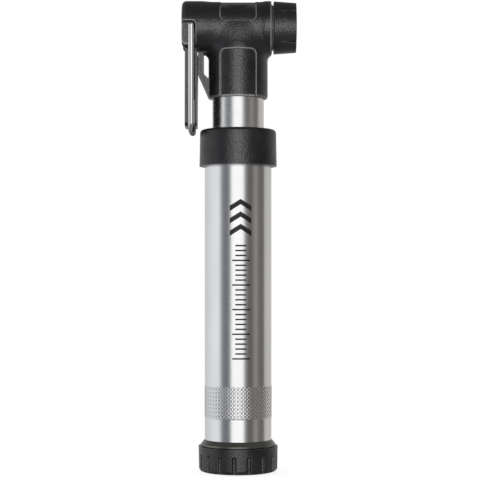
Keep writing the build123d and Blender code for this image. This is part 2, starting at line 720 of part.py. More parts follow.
with BuildPart() as head_body:
    with BuildSketch(chuck_section(core_left)):
        Circle(housing_radius)
    extrude(amount=core_right - core_left)
    with BuildSketch(Plane.XZ):
        with BuildLine():
            side = Polyline(
                (0, stem_bottom),
                (stem_radius - stem_chamfer, stem_bottom),
                (stem_radius, stem_bottom + stem_chamfer),
                (stem_radius, housing_bottom),
            )
            dome = TangentArc(side @ 1, (dome_radius, dome_top), tangent=(0, 1))
            Polyline(dome @ 1, (0, dome_top), (0, stem_bottom))
        make_face()
    revolve(axis=Axis.Z)
    # Seam where the stem runs into the housing.
    fillet(head_body.edges().filter_by(GeomType.BSPLINE), seam_radius)
    # Flared ends of the housing.
    with BuildSketch(chuck_plane) as tail_profile:
        Polygon(
            (housing_left, 0),
            (housing_left, housing_end_radius),
            (tail_flare_end, housing_end_radius),
            (tail_flare_end + flare_run, housing_radius),
            (tail_flare_end + flare_run, 0),
            align=None,
        )
        rim = tail_profile.vertices().group_by(Axis.Y)[-1].sort_by(Axis.X)
        fillet(rim[0], housing_tail_fillet)
    revolve(axis=chuck_axis)
    with BuildSketch(chuck_plane) as nose_profile:
        Polygon(
            (nose_flare_end - flare_run, 0),
            (nose_flare_end - flare_run, housing_radius),
            (nose_flare_end, housing_end_radius),
            (housing_right, housing_end_radius),
            (housing_right, neck_radius),
            (cap_left - face_gap, neck_radius),
            (cap_left - face_gap, thread_radius),
            (thread_end, thread_radius),
            (thread_end, 0),
            align=None,
        )
        rim = nose_profile.vertices().group_by(Axis.Y)[-1].sort_by(Axis.X)
        fillet(rim[-1], housing_nose_fillet)
    revolve(axis=chuck_axis)
    # Gusset: a strap from the housing to the stem that the closed lever rests on.
    with BuildSketch(Plane.XZ):
        Polygon(
            (gusset_x, gusset_top),
            (gusset_x, gusset_bend_z),
            (-stem_radius, gusset_foot_z),
            (gusset_inner_x, gusset_foot_z),
            (gusset_inner_x, gusset_top),
            align=None,
        )
        Polygon(
            (window_x, housing_bottom),
            (window_x, gusset_bend_z),
            (-stem_radius, window_floor_z),
            (gusset_inner_x, window_floor_z),
            (gusset_inner_x, housing_bottom),
            align=None,
            mode=Mode.SUBTRACT,
        )
    extrude(amount=gusset_width / 2, both=True)
    # Sunk panels: one down the stem, front and back, one over the housing's top.
    add(lower_panel.part, mode=Mode.SUBTRACT)
    add(upper_panel.part, mode=Mode.SUBTRACT)
    # Flats beside the pivot where the wire's legs lie and swing.
    for side in (1, -1):
        with BuildSketch(Plane.XZ.offset(side * cheek_face)) as leg_flat:
            with Locations((pivot_x + leg_reach, pivot_z + leg_reach)):
                Rectangle(cut_reach, cut_reach, align=(Align.MAX, Align.MAX))
            inner_corner = leg_flat.vertices().group_by(Axis.Y)[-1].sort_by(Axis.X)[-1]
            fillet(inner_corner, leg_reach)
        extrude(amount=side * housing_radius, mode=Mode.SUBTRACT)
    # Cam pocket, and the slot that the lever swings out of.
    with BuildSketch(Plane.XZ):
        with Locations((pivot_x, pivot_z)):
            Circle(cam_clearance_radius)
            Rectangle(
                cut_reach,
                cut_reach,
                align=(Align.MAX, Align.CENTER),
                mode=Mode.SUBTRACT,
            )
        with Locations((pivot_x, pivot_z)):
            Rectangle(
                lever_outer_depth + slot_margin,
                cam_clearance_radius - slot_margin,
                align=(Align.MAX, Align.MIN),
            )
        slot_corner = (gusset_x - gusset_gap / 2, pivot_z + lever_outer_depth + slot_margin)
        with Locations(slot_corner):
            Rectangle(cut_reach, cut_reach, align=(Align.MAX, Align.MAX))
    extrude(amount=cheek_half_gap, both=True, mode=Mode.SUBTRACT)
    with BuildSketch(Plane.XZ):
        with Locations((pivot_x, pivot_z)):
            Circle(pin_hole_radius)
    extrude(amount=housing_radius, both=True, mode=Mode.SUBTRACT)
    # Bores for the plunger and the gasket.
    with BuildSketch(chuck_section(pivot_x + cam_clearance_radius / 2)):
        Circle(plunger_tail_radius + running_gap)
    extrude(amount=chuck_step - pivot_x, mode=Mode.SUBTRACT)
    with BuildSketch(chuck_section(chuck_step)):
        Circle(chuck_bore_radius)
    extrude(amount=thread_end - chuck_step, mode=Mode.SUBTRACT)
    # Socket for the tube and the air way up to the chuck.
    with BuildSketch(Plane.XY.offset(stem_bottom)):
        Circle(socket_radius)
    extrude(amount=socket_depth, mode=Mode.SUBTRACT)
    with BuildSketch(Plane.XY.offset(stem_bottom)):
        Circle(valve_chamber_radius + running_gap)
    extrude(amount=spring_shelf - stem_bottom, mode=Mode.SUBTRACT)
    with BuildSketch(Plane.XY.offset(stem_bottom)):
        Circle(air_way_radius)
    extrude(amount=axis_height - stem_bottom, mode=Mode.SUBTRACT)
save(head_body.part, "head_body")

# Non-return valve: poppet with a spigot for its spring.
poppet_bottom = seat_ledge + press_gap
poppet_top = poppet_bottom + poppet_thickness
spigot_radius = spring_radius - spigot_gap
with BuildPart() as check_valve:
    with BuildSketch(Plane.XZ):
        Polygon(
            (0, poppet_bottom),
            (poppet_radius, poppet_bottom),
            (poppet_radius, poppet_top),
            (spigot_radius, poppet_top),
            (spigot_radius - spigot_taper, poppet_top + spigot_height),
            (0, poppet_top + spigot_height),
            align=None,
        )
    revolve(axis=Axis.Z)
save(check_valve.part, "check_valve")

spring_low = poppet_top + spring_wire_radius + press_gap
spring_high = spring_shelf - spring_wire_radius - press_gap
with BuildPart() as valve_spring:
    with BuildLine() as coil:
        Helix(
            (spring_high - spring_low) / spring_turns,
            spring_high - spring_low,
            spring_radius,
            center=(0, 0, spring_low),
        )
    with BuildSketch(Plane(coil.line @ 0, z_dir=coil.line % 0)):
        Circle(spring_wire_radius)
    sweep()
save(valve_spring.part, "valve_spring")

# ================================================================ chuck
plunger_seal_wall = plunger_tail_radius + running_gap
plunger_seal_x = plunger_back + plunger_seal_reach
plunger_groove = plunger_seal_section / 2 + groove_side_gap
plunger_groove_floor = groove_floor(plunger_seal_wall, plunger_seal_section)
plunger_shoulder = chuck_step - running_gap
plunger_neck_radius = valve_pin_radius + plunger_neck_wall
plunger_flange_back = plunger_front - plunger_flange_length
with BuildPart() as plunger:
    with BuildSketch(chuck_plane):
        Polygon(
            (plunger_back, 0),
            (plunger_back, plunger_tail_radius),
            (plunger_seal_x - plunger_groove, plunger_tail_radius),
            (plunger_seal_x - plunger_groove, plunger_groove_floor),
            (plunger_seal_x + plunger_groove, plunger_groove_floor),
            (plunger_seal_x + plunger_groove, plunger_tail_radius),
            (plunger_shoulder, plunger_tail_radius),
            (plunger_shoulder, plunger_neck_radius),
            (plunger_flange_back, plunger_neck_radius),
            (plunger_flange_back, chuck_bore_radius - running_gap),
            (plunger_front, chuck_bore_radius - running_gap),
            (plunger_front, valve_pin_radius + press_gap),
            (plunger_front - pin_seat_depth, valve_pin_radius + press_gap),
            (plunger_front - pin_seat_depth, 0),
            align=None,
        )
    revolve(axis=chuck_axis)
    with BuildSketch(chuck_section(plunger_flange_back)):
        with PolarLocations(chuck_bore_radius - air_hole_inset, air_hole_count):
            Circle(air_hole_radius)
    extrude(amount=plunger_front - plunger_flange_back, mode=Mode.SUBTRACT)
save(plunger.part, "plunger")

save(
    seal_ring(plunger_seal_wall, plunger_seal_section, chuck_section(plunger_seal_x)),
    "plunger_o_ring",
)

pin_back = plunger_front - pin_seat_depth + blind_gap
with BuildPart() as valve_pin:
    with BuildSketch(chuck_section(pin_back)):
        Circle(valve_pin_radius)
    extrude(amount=plunger_front + valve_pin_reach - pin_back)
    fillet(valve_pin.edges().group_by(Axis.X)[-1], valve_pin_radius / 2)
save(valve_pin.part, "valve_pin")

gasket_step = gasket_left + gasket_back_length
with BuildPart() as valve_gasket:
    with BuildSketch(chuck_plane) as gasket_profile:
        Polygon(
            (gasket_left, gasket_back_bore_radius),
            (gasket_left, gasket_radius),
            (mouth_left - press_gap, gasket_radius),
            (mouth_left - press_gap, gasket_bore_radius),
            (gasket_step, gasket_bore_radius),
            (gasket_step, gasket_back_bore_radius),
            align=None,
        )
        fillet(gasket_profile.vertices().group_by(Axis.Y)[-1], gasket_fillet)
    revolve(axis=chuck_axis)
save(valve_gasket.part, "valve_gasket")

with BuildPart() as notch_cutter:
    with BuildSketch(chuck_section(cap_right + blind_gap)):
        Polygon(
            (cap_outer_radius - cap_notch_depth, 0),
            (cap_outer_radius + cap_notch_lip, cap_notch_half_width),
            (cap_outer_radius + cap_notch_lip, -cap_notch_half_width),
            align=None,
        )
    with BuildSketch(chuck_section(cap_right - cap_notch_length)):
        Polygon(
            (cap_inner_radius - cap_notch_tip_depth, 0),
            (cap_inner_radius + cap_notch_lip, cap_notch_tip_half_width),
            (cap_inner_radius + cap_notch_lip, -cap_notch_tip_half_width),
            align=None,
        )
    loft()

with BuildPart() as chuck_cap:
    with BuildSketch(chuck_plane) as cap_profile:
        Polygon(
            (cap_left, thread_radius + thread_gap),
            (cap_left, cap_inner_radius),
            (cap_right, cap_outer_radius),
            (cap_right, mouth_radius),
            (mouth_left, mouth_radius),
            (mouth_left, gasket_radius + press_gap),
            (cap_thread_end, gasket_radius + press_gap),
            (cap_thread_end, thread_radius + thread_gap),
            align=None,
        )
        rim = cap_profile.vertices().group_by(Axis.Y)
        fillet(rim[-1], cap_fillet)
        fillet(rim[-2].sort_by(Axis.X)[-1], cap_fillet)
    revolve(axis=chuck_axis)
    for turn in range(cap_notch_count):
        angle = cap_notch_phase + turn * 360 / cap_notch_count
        add(notch_cutter.part.rotate(chuck_axis, angle), mode=Mode.SUBTRACT)
save(chuck_cap.part, "chuck_cap")

# ================================================================ lever
lever_top = pivot_z - lever_shoulder
lever_bottom = crossbar_z + wire_radius + blade_side_gap
lever_inner_x = pivot_x + lever_inner_depth
lever_outer_x = pivot_x - lever_outer_depth
with BuildPart() as lever:
    with BuildSketch(Plane.XZ) as blade_profile:
        Polygon(
            (lever_outer_x, lever_top),
            (lever_inner_x, lever_top),
            (lever_inner_x - lever_taper, lever_bottom),
            (lever_outer_x - lever_taper / 4, lever_bottom),
            align=None,
        )
        top_corners = blade_profile.vertices().group_by(Axis.Y)[-1].sort_by(Axis.X)
        fillet(top_corners[-1], lever_heel_fillet)
        fillet(top_corners[0], lever_back_fillet)
    extrude(amount=lever_half_width, both=True)
    # Lower corners follow the wire's bends.
    foot_edges = lever.edges().filter_by(Axis.X).group_by(Axis.Z)[0]
    fillet(foot_edges, wire_bend_radius - wire_radius - blade_side_gap)
    with BuildSketch(Plane.XZ):
        with Locations((pivot_x - cam_eccentricity, pivot_z + cam_eccentricity)):
            Circle(cam_radius)
        with Locations((lever_outer_x, pivot_z)):
            Rectangle(
                2 * cam_radius,
                4 * cam_radius,
                align=(Align.MAX, Align.CENTER),
                mode=Mode.SUBTRACT,
            )
        Polygon(
            (lever_outer_x, pivot_z),
            (lever_outer_x, lever_top - hub_overlap),
            (lever_inner_x - hub_neck_inset, lever_top - hub_overlap),
            (lever_inner_x - hub_neck_inset, pivot_z),
            align=None,
        )
    extrude(amount=hub_half_width, both=True)
    with BuildSketch(Plane.XZ):
        with Locations((pivot_x, pivot_z)):
            Circle(wire_radius + press_gap)
    extrude(amount=2 * hub_half_width, both=True, mode=Mode.SUBTRACT)
save(lever.part, "lever")

# Wire bail: two legs beside the lever, a crossbar under its end, and ends
# turned in through the housing's cheeks to be the lever's pivot.
bail_plane = Plane(origin=(pivot_x, 0, 0), x_dir=(0, 1, 0), z_dir=(1, 0, 0))
pin_inner_y = hub_half_width - pin_grip
with BuildPart() as wire_bail:
    with BuildLine(bail_plane) as bail_path:
        FilletPolyline(
            (-leg_offset, pivot_z),
            (-leg_offset, crossbar_z),
            (leg_offset, crossbar_z),
            (leg_offset, pivot_z),
            radius=wire_bend_radius,
        )
    with BuildSketch(Plane(bail_path.line @ 0, z_dir=bail_path.line % 0)):
        Circle(wire_radius)
    sweep()
    for side in (1, -1):
        with BuildSketch(Plane.XZ.offset(side * pin_inner_y)):
            with Locations((pivot_x, pivot_z)):
                Circle(wire_radius)
        extrude(amount=side * (leg_offset - pin_inner_y))
        with Locations((pivot_x, -side * leg_offset, pivot_z)):
            Sphere(wire_radius)
save(wire_bail.part, "wire_bail")
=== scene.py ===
"""Looks for a telescoping mini pump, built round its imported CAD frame.

Frame: +Z up the pump's axis, origin under the centre of the knob, +X along the
chuck towards the valve. Sizes in this file are millimetres until a mesh is made.
"""

import json
import logging
import math
from collections.abc import Callable
from dataclasses import dataclass, replace
from enum import Enum

import bpy
import numpy as np
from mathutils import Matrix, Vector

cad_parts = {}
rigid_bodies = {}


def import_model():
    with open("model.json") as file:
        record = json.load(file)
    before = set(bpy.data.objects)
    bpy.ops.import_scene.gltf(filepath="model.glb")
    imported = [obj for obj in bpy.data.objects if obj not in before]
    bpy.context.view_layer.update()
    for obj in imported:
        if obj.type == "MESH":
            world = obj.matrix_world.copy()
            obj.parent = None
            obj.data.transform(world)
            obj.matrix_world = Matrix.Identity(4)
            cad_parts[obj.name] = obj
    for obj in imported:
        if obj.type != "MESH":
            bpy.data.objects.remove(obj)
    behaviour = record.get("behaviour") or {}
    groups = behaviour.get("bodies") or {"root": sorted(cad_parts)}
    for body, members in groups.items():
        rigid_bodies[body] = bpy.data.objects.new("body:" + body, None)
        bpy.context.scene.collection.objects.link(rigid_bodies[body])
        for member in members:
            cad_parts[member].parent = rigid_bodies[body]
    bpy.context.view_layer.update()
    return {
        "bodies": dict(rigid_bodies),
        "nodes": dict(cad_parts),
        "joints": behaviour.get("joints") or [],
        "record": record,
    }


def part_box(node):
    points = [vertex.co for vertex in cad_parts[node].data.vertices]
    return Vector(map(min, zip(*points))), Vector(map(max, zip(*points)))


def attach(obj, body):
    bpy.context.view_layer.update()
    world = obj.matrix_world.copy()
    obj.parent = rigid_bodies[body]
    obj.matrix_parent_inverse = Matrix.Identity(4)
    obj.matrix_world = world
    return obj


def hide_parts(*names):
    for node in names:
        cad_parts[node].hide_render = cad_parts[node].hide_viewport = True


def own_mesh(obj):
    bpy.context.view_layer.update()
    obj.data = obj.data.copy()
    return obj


log = logging.getLogger("mini_pump")

MM = 0.001
Colour = tuple[float, float, float]
Points = np.ndarray
Distance = np.ndarray

# Sockets of a Mix node that mixes colours.
MIX_SHARE, MIX_FIRST, MIX_SECOND, MIX_RESULT = 0, 6, 7, 2
# Range that holds most of a noise's values.
NOISE_MIDDLE = (0.3, 0.7)
SHARP_ANGLE = math.radians(40)


# ---------------------------------------------------------------- node graphs
class Grain(Enum):
    """Direction in which a metal's tool marks run."""

    AROUND = "around the pump's axis"
    ALONG = "along the pump's axis"
    CHUCK = "around the chuck's axis"
    NONE = "no direction"


class Graph:
    """Shorthand for one material's nodes, with positions in the shared frame."""

    def __init__(self, name: str) -> None:
        """Start a material that has one Principled shader.

        Args:
            name: the material's name.
        """
        self.material = bpy.data.materials.new(name)
        self.material.use_nodes = True
        self.tree = self.material.node_tree
        self.shader = self.tree.nodes["Principled BSDF"]
        self.place = self.add("ShaderNodeTexCoord").outputs["Object"]

    def add(self, kind: str, **settings: object) -> bpy.types.Node:
        """Add a node.

        Args:
            kind: Blender's type name of the node.
            settings: attributes to set on the node.

        Returns:
            The new node.
        """
        node = self.tree.nodes.new(kind)
        for key, value in settings.items():
            setattr(node, key, value)
        return node

    def link(self, source: bpy.types.NodeSocket, target: bpy.types.NodeSocket) -> None:
        """Join an output to an input."""
        self.tree.links.new(source, target)

    def stretched(self, scale: Colour) -> bpy.types.NodeSocket:
        """Scale the position by a different amount on each axis.

        Args:
            scale: repeats per metre along x, y and z.

        Returns:
            The scaled position.
        """
        node = self.add("ShaderNodeMapping", vector_type="POINT")
        node.inputs["Scale"].default_value = scale
        self.link(self.place, node.inputs["Vector"])
        return node.outputs["Vector"]

    def noise(
        self, scale: Colour | float, detail: float = 2.0, rough: float = 0.5
    ) -> bpy.types.NodeSocket:
        """Make noise from the position.

        Args:
            scale: repeats per metre, the same all ways or along x, y and z.
            detail: number of octaves.
            rough: share that each octave keeps.

        Returns:
            The noise value, about 0.5 in the middle.
        """
        node = self.add("ShaderNodeTexNoise")
        node.inputs["Scale"].default_value = 1.0
        node.inputs["Detail"].default_value = detail
        node.inputs["Roughness"].default_value = rough
        each = scale if isinstance(scale, tuple) else (scale, scale, scale)
        self.link(self.stretched(each), node.inputs["Vector"])
        return node.outputs["Fac"]

    def remap(
        self,
        value: bpy.types.NodeSocket,
        source: tuple[float, float],
        target: tuple[float, float],
    ) -> bpy.types.NodeSocket:
        """Map a value from one range to another, clamped.

        Args:
            value: the value to map.
            source: range that the value is read over.
            target: range that it comes out in.

        Returns:
            The mapped value.
        """
        node = self.add("ShaderNodeMapRange")
        node.inputs["From Min"].default_value = source[0]
        node.inputs["From Max"].default_value = source[1]
        node.inputs["To Min"].default_value = target[0]
        node.inputs["To Max"].default_value = target[1]
        self.link(value, node.inputs["Value"])
        return node.outputs["Result"]

    def math(
        self,
        operation: str,
        first: bpy.types.NodeSocket,
        second: bpy.types.NodeSocket | float,
    ) -> bpy.types.NodeSocket:
        """Combine two values.

        Args:
            operation: Blender's name of the operation.
            first: left value.
            second: right value, a socket or a number.

        Returns:
            The result.
        """
        node = self.add("ShaderNodeMath", operation=operation)
        self.link(first, node.inputs[0])
        if isinstance(second, (int, float)):
            node.inputs[1].default_value = second
        else:
            self.link(second, node.inputs[1])
        return node.outputs["Value"]

    def ramp(
        self, value: bpy.types.NodeSocket, stops: list[tuple[float, Colour]], smooth: bool = True
    ) -> bpy.types.NodeSocket:
        """Turn a value into a colour.

        Args:
            value: position on the ramp, 0 to 1.
            stops: positions with their colours, in order.
            smooth: ease between the stops.

        Returns:
            The colour.
        """
        node = self.add("ShaderNodeValToRGB")
        bar = node.color_ramp
        bar.interpolation = "EASE" if smooth else "LINEAR"
        while len(bar.elements) < len(stops):
            bar.elements.new(0.5)
        for element, (position, colour) in zip(bar.elements, stops):
            element.position = position
            element.color = (*colour, 1.0)
        self.link(value, node.inputs["Fac"])
        return node.outputs["Color"]

    def blend(
        self,
        share: bpy.types.NodeSocket,
        first: bpy.types.NodeSocket | Colour,
        second: bpy.types.NodeSocket | Colour,
    ) -> bpy.types.NodeSocket:
        """Mix two colours.

        Args:
            share: how much of the second colour shows.
            first: the first colour, a socket or a value.
            second: the second colour, a socket or a value.

        Returns:
            The mixed colour.
        """
        node = self.add("ShaderNodeMix", data_type="RGBA")
        self.link(share, node.inputs[MIX_SHARE])
        for number, colour in ((MIX_FIRST, first), (MIX_SECOND, second)):
            socket = node.inputs[number]
            if isinstance(colour, tuple):
                socket.default_value = (*colour, 1.0)
            else:
                self.link(colour, socket)
        return node.outputs[MIX_RESULT]

    def bump(
        self,
        height: bpy.types.NodeSocket,
        depth: float,
        normal: bpy.types.NodeSocket | None = None,
    ) -> bpy.types.NodeSocket:
        """Make a bumped normal.

        Args:
            height: the relief, 0 to 1.
            depth: its full depth in millimetres.
            normal: a normal that this one is laid over.

        Returns:
            The bumped normal.
        """
        node = self.add("ShaderNodeBump")
        node.inputs["Strength"].default_value = 1.0
        node.inputs["Distance"].default_value = depth * MM
        self.link(height, node.inputs["Height"])
        if normal is not None:
            self.link(normal, node.inputs["Normal"])
        return node.outputs["Normal"]

    def rounded(self, radius: float) -> bpy.types.NodeSocket:
        """Make a normal as if each sharp edge had a small radius.

        Args:
            radius: the edges' radius in millimetres.

        Returns:
            The softened normal.
        """
        node = self.add("ShaderNodeBevel", samples=4)
        node.inputs["Radius"].default_value = radius * MM
        return node.outputs["Normal"]

    def edges(self, rounded: bpy.types.NodeSocket) -> bpy.types.NodeSocket:
        """Find the edges, where the rounded normal leaves the true one.

        Args:
            rounded: the normal from rounded().

        Returns:
            0 on open faces and 1 on the edges.
        """
        true_normal = self.add("ShaderNodeNewGeometry").outputs["Normal"]
        node = self.add("ShaderNodeVectorMath", operation="DOT_PRODUCT")
        self.link(rounded, node.inputs[0])
        self.link(true_normal, node.inputs[1])
        return self.remap(node.outputs["Value"], (0.999, 0.93), (0.0, 1.0))

    def carried(self, name: str) -> bpy.types.NodeSocket:
        """Value that the mesh carries at each of its points."""
        return self.add("ShaderNodeAttribute", attribute_name=name).outputs["Fac"]

    def drive(self, name: str, source: bpy.types.NodeSocket) -> None:
        """Link a value to the shader's named input."""
        self.link(source, self.shader.inputs[name])

    def fix(self, **values: float) -> None:
        """Set plain values on the shader, with _ for each space in a name."""
        for key, value in values.items():
            self.shader.inputs[key.replace("_", " ")].default_value = value


# ---------------------------------------------------------------- finishes
@dataclass(frozen=True)
class TurnedMetal:
    """Metal with fine tool marks, light stains, softened edges that are paler partly from wear and
    partly as a painted highlight, and optional painted shade in its grooves.
    """

    name: str
    colour: Colour
    shade: Colour
    roughness: float
    grain: Grain = Grain.AROUND
    mark_pitch: float = 0.12
    mark_depth: float = 0.0012
    along_marks: float = 45.0
    stain_scale: Colour = (70.0, 70.0, 40.0)
    anisotropy: float = 0.4
    edge_radius: float = 0.08
    edge_wear_and_highlight: float = 0.5
    edge_gain: float = 1.15
    rim: float = 1.0
    groove_painted_shade: float = 0.0
    groove_shade: float = 0.1

    def material(self) -> bpy.types.Material:
        """Build the material.

        Returns:
            The finished material.
        """
        graph = Graph(self.name)
        fine, coarse = 1.0 / (self.mark_pitch * MM), self.along_marks
        scale = {
            Grain.AROUND: (coarse, coarse, fine),
            Grain.ALONG: (fine, fine, coarse),
            Grain.CHUCK: (fine, coarse, coarse),
            Grain.NONE: (fine, fine, fine),
        }[self.grain]
        marks = graph.noise(scale, detail=3.0, rough=0.6)
        clouds = graph.noise(self.stain_scale, detail=3.0)
        soft = graph.rounded(self.edge_radius)
        # Paler edges: partly wear, partly a painted highlight along the edges.
        wear_and_highlight = graph.math("MULTIPLY", graph.edges(soft), self.edge_wear_and_highlight)
        stained = graph.ramp(clouds, [(0.35, self.shade), (0.65, self.colour)])
        lit = tuple(min(1.0, self.edge_gain * part) for part in self.colour)
        surface = graph.blend(wear_and_highlight, stained, lit)
        # Painted shade: the knurl's grooves are darkened towards a dark copy of the metal's
        # colour.
        if self.groove_painted_shade:
            groove_shading = graph.math("MULTIPLY", graph.carried("groove"), self.groove_painted_shade)
            dark = tuple(self.groove_shade * part for part in self.colour)
            surface = graph.blend(groove_shading, surface, dark)
        graph.drive("Base Color", surface)
        spread = (self.roughness * 0.8, self.roughness * 1.25)
        graph.drive("Roughness", graph.remap(marks, NOISE_MIDDLE, spread))
        graph.drive("Normal", graph.bump(marks, self.mark_depth, soft))
        graph.fix(Metallic=1.0, Anisotropic=self.anisotropy)
        graph.shader.inputs["Specular Tint"].default_value = (self.rim, self.rim, self.rim, 1.0)
        if self.grain in (Grain.AROUND, Grain.CHUCK):
            axis = "Z" if self.grain is Grain.AROUND else "X"
            tangent = graph.add("ShaderNodeTangent", direction_type="RADIAL", axis=axis)
            graph.drive("Tangent", tangent.outputs["Tangent"])
        return graph.material


@dataclass(frozen=True)
class MouldedPlastic:
    """Nylon from a spark-eroded mould: fine sparkling grain, paler edges that are partly wear and
    partly a painted highlight.

    A piece that carries its own bend also shows the paler colour on its ridges, partly wear and
    partly a painted highlight, and painted shade in its duller creases.
    """

    name: str
    colour: Colour
    shade: Colour
    wear_and_highlight: Colour
    roughness: float
    grain_size: float = 0.3
    grain_depth: float = 0.012
    glint_ratio: float = 1.7
    glint_gloss: float = 0.16
    cloud_scale: float = 160.0
    cloud_gloss: float = 0.04
    edge_radius: float = 0.18
    gloss: float = 0.5
    has_bend: bool = False
    ridge: tuple[float, float] = (0.6, 2.4)
    ridge_wear_and_highlight: float = 0.8
    crease: tuple[float, float] = (-0.5, -1.8)
    crease_gloss: float = 0.05

    def material(self) -> bpy.types.Material:
        """Build the material.

        Returns:
            The finished material.
        """
        graph = Graph(self.name)
        fine = 1.0 / (self.grain_size * MM)
        grain = graph.noise(fine, detail=2.0, rough=0.6)
        glint = graph.noise(fine * self.glint_ratio, detail=1.0)
        clouds = graph.noise(self.cloud_scale, detail=4.0)
        soft = graph.rounded(self.edge_radius)
        patches = graph.remap(clouds, (0.3, 0.6), (0.4, 1.0))
        # Paler edges in patches: partly wear, partly a painted highlight along the edges.
        wear_and_highlight = graph.math("MULTIPLY", graph.edges(soft), patches)
        body = graph.ramp(clouds, [(0.3, self.shade), (0.7, self.colour)])
        if self.has_bend:
            bend = graph.carried("bend")
            # Ridges take the paler edge colour: a painted highlight, with some wear.
            ridge = graph.remap(bend, self.ridge, (0.0, self.ridge_wear_and_highlight))
            wear_and_highlight = graph.math("MAXIMUM", wear_and_highlight, ridge)
            # Painted shade: creases darken towards the shade colour.
            body = graph.blend(graph.remap(bend, self.crease, (0.0, 1.0)), body, self.shade)
            dulled = graph.remap(bend, self.crease, (self.gloss, self.crease_gloss))
            graph.drive("Specular IOR Level", dulled)
        graph.drive("Base Color", graph.blend(wear_and_highlight, body, self.wear_and_highlight))
        sparkle = graph.remap(glint, (0.56, 0.66), (0.0, self.glint_gloss))
        spread = (self.roughness + self.cloud_gloss, self.roughness - self.cloud_gloss)
        smooth = graph.remap(clouds, NOISE_MIDDLE, spread)
        graph.drive("Roughness", graph.math("SUBTRACT", smooth, sparkle))
        graph.drive("Normal", graph.bump(grain, self.grain_depth, soft))
        graph.fix(Specular_IOR_Level=self.gloss)
        return graph.material


@dataclass(frozen=True)
class SoftRubber:
    """Matt rubber with flow marks, a dusty bloom and rounded edges."""

    name: str
    colour: Colour
    bloom: Colour
    roughness: float = 0.62
    dust_scale: float = 420.0
    skin_scale: float = 4200.0
    skin_depth: float = 0.006
    edge_radius: float = 0.12

    def material(self) -> bpy.types.Material:
        """Build the material.

        Returns:
            The finished material.
        """
        graph = Graph(self.name)
        dust = graph.noise(self.dust_scale, detail=5.0, rough=0.65)
        skin = graph.noise(self.skin_scale, detail=2.0)
        graph.drive("Base Color", graph.ramp(dust, [(0.4, self.colour), (0.75, self.bloom)]))
        spread = (self.roughness - 0.08, self.roughness + 0.12)
        graph.drive("Roughness", graph.remap(dust, NOISE_MIDDLE, spread))
        soft = graph.rounded(self.edge_radius)
        graph.drive("Normal", graph.bump(skin, self.skin_depth, soft))
        return graph.material


@dataclass(frozen=True)
class PaleAcetal:
    """Turned white bearing plastic with faint lathe rings."""

    name: str
    colour: Colour
    shade: Colour
    grain: Grain = Grain.AROUND
    ring_scale: float = 5200.0
    ring_depth: float = 0.003
    along_rings: float = 30.0
    cloud_scale: float = 240.0
    edge_radius: float = 0.1
    depth_glow: float = 0.08

    def material(self) -> bpy.types.Material:
        """Build the material.

        Returns:
            The finished material.
        """
        graph = Graph(self.name)
        fine, coarse = self.ring_scale, self.along_rings
        around = self.grain is Grain.AROUND
        rings = graph.noise((coarse, coarse, fine) if around else (fine, coarse, coarse))
        clouds = graph.noise(self.cloud_scale, detail=3.0)
        graph.drive("Base Color", graph.ramp(clouds, [(0.3, self.shade), (0.7, self.colour)]))
        graph.drive("Roughness", graph.remap(rings, NOISE_MIDDLE, (0.3, 0.45)))
        soft = graph.rounded(self.edge_radius)
        graph.drive("Normal", graph.bump(rings, self.ring_depth, soft))
        graph.fix(Subsurface_Weight=self.depth_glow)
        return graph.material


@dataclass(frozen=True)
class PrintInk:
    """Pad-printed ink with an uneven film and a slight satin gloss."""

    name: str
    colour: Colour
    thin: Colour
    film_scale: float = 1500.0
    film_depth: float = 0.002

    def material(self) -> bpy.types.Material:
        """Build the material.

        Returns:
            The finished material.
        """
        graph = Graph(self.name)
        film = graph.noise(self.film_scale, detail=3.0)
        graph.drive("Base Color", graph.ramp(film, [(0.5, self.colour), (0.8, self.thin)]))
        graph.drive("Roughness", graph.remap(film, NOISE_MIDDLE, (0.34, 0.5)))
        graph.drive("Normal", graph.bump(film, self.film_depth))
        return graph.material


@dataclass(frozen=True)
class PaleSweep:
    """Studio floor: white, faintly mottled paper that is lit from below as well."""

    name: str
    colour: Colour
    glow: float
    fibre_scale: float = 60.0
    fibre_depth: float = 0.02
    fibre_shade: float = 0.985

    def material(self) -> bpy.types.Material:
        """Build the material.

        Returns:
            The finished material.
        """
        graph = Graph(self.name)
        fibre = graph.noise(self.fibre_scale, detail=5.0)
        low = tuple(self.fibre_shade * part for part in self.colour)
        graph.drive("Base Color", graph.ramp(fibre, [(0.3, low), (0.7, self.colour)]))
        graph.drive("Roughness", graph.remap(fibre, NOISE_MIDDLE, (0.7, 0.85)))
        graph.drive("Normal", graph.bump(fibre, self.fibre_depth))
        graph.fix(Emission_Strength=self.glow)
        graph.shader.inputs["Emission Color"].default_value = (1.0, 1.0, 1.0, 1.0)
        return graph.material


ALUMINIUM = TurnedMetal(
    "satin_aluminium",
    (0.93, 0.93, 0.93),
    (0.88, 0.885, 0.89),
    0.2,
    anisotropy=0.2,
    # Painted shade in the knurl's grooves.
    groove_painted_shade=0.6,
)
TUBE_ALUMINIUM = TurnedMetal(
    "smooth_aluminium", (0.93, 0.93, 0.93), (0.89, 0.895, 0.9), 0.24, mark_depth=0.0008
)
ANODISED = TurnedMetal(
    "grey_anodising",
    (0.24, 0.24, 0.215),
    (0.2, 0.2, 0.18),
    0.34,
    mark_pitch=0.2,
    anisotropy=0.2,
    edge_radius=0.12,
)
WIRE = TurnedMetal(
    "polished_wire",
    (0.95, 0.945, 0.93),
    (0.85, 0.845, 0.83),
    0.15,
    grain=Grain.ALONG,
    mark_pitch=0.1,
    mark_depth=0.0006,
    anisotropy=0.0,
    rim=0.1,
)
ZINC = TurnedMetal(
    "zinc_plate", (0.62, 0.63, 0.65), (0.5, 0.51, 0.54), 0.28, grain=Grain.NONE, anisotropy=0.0
)
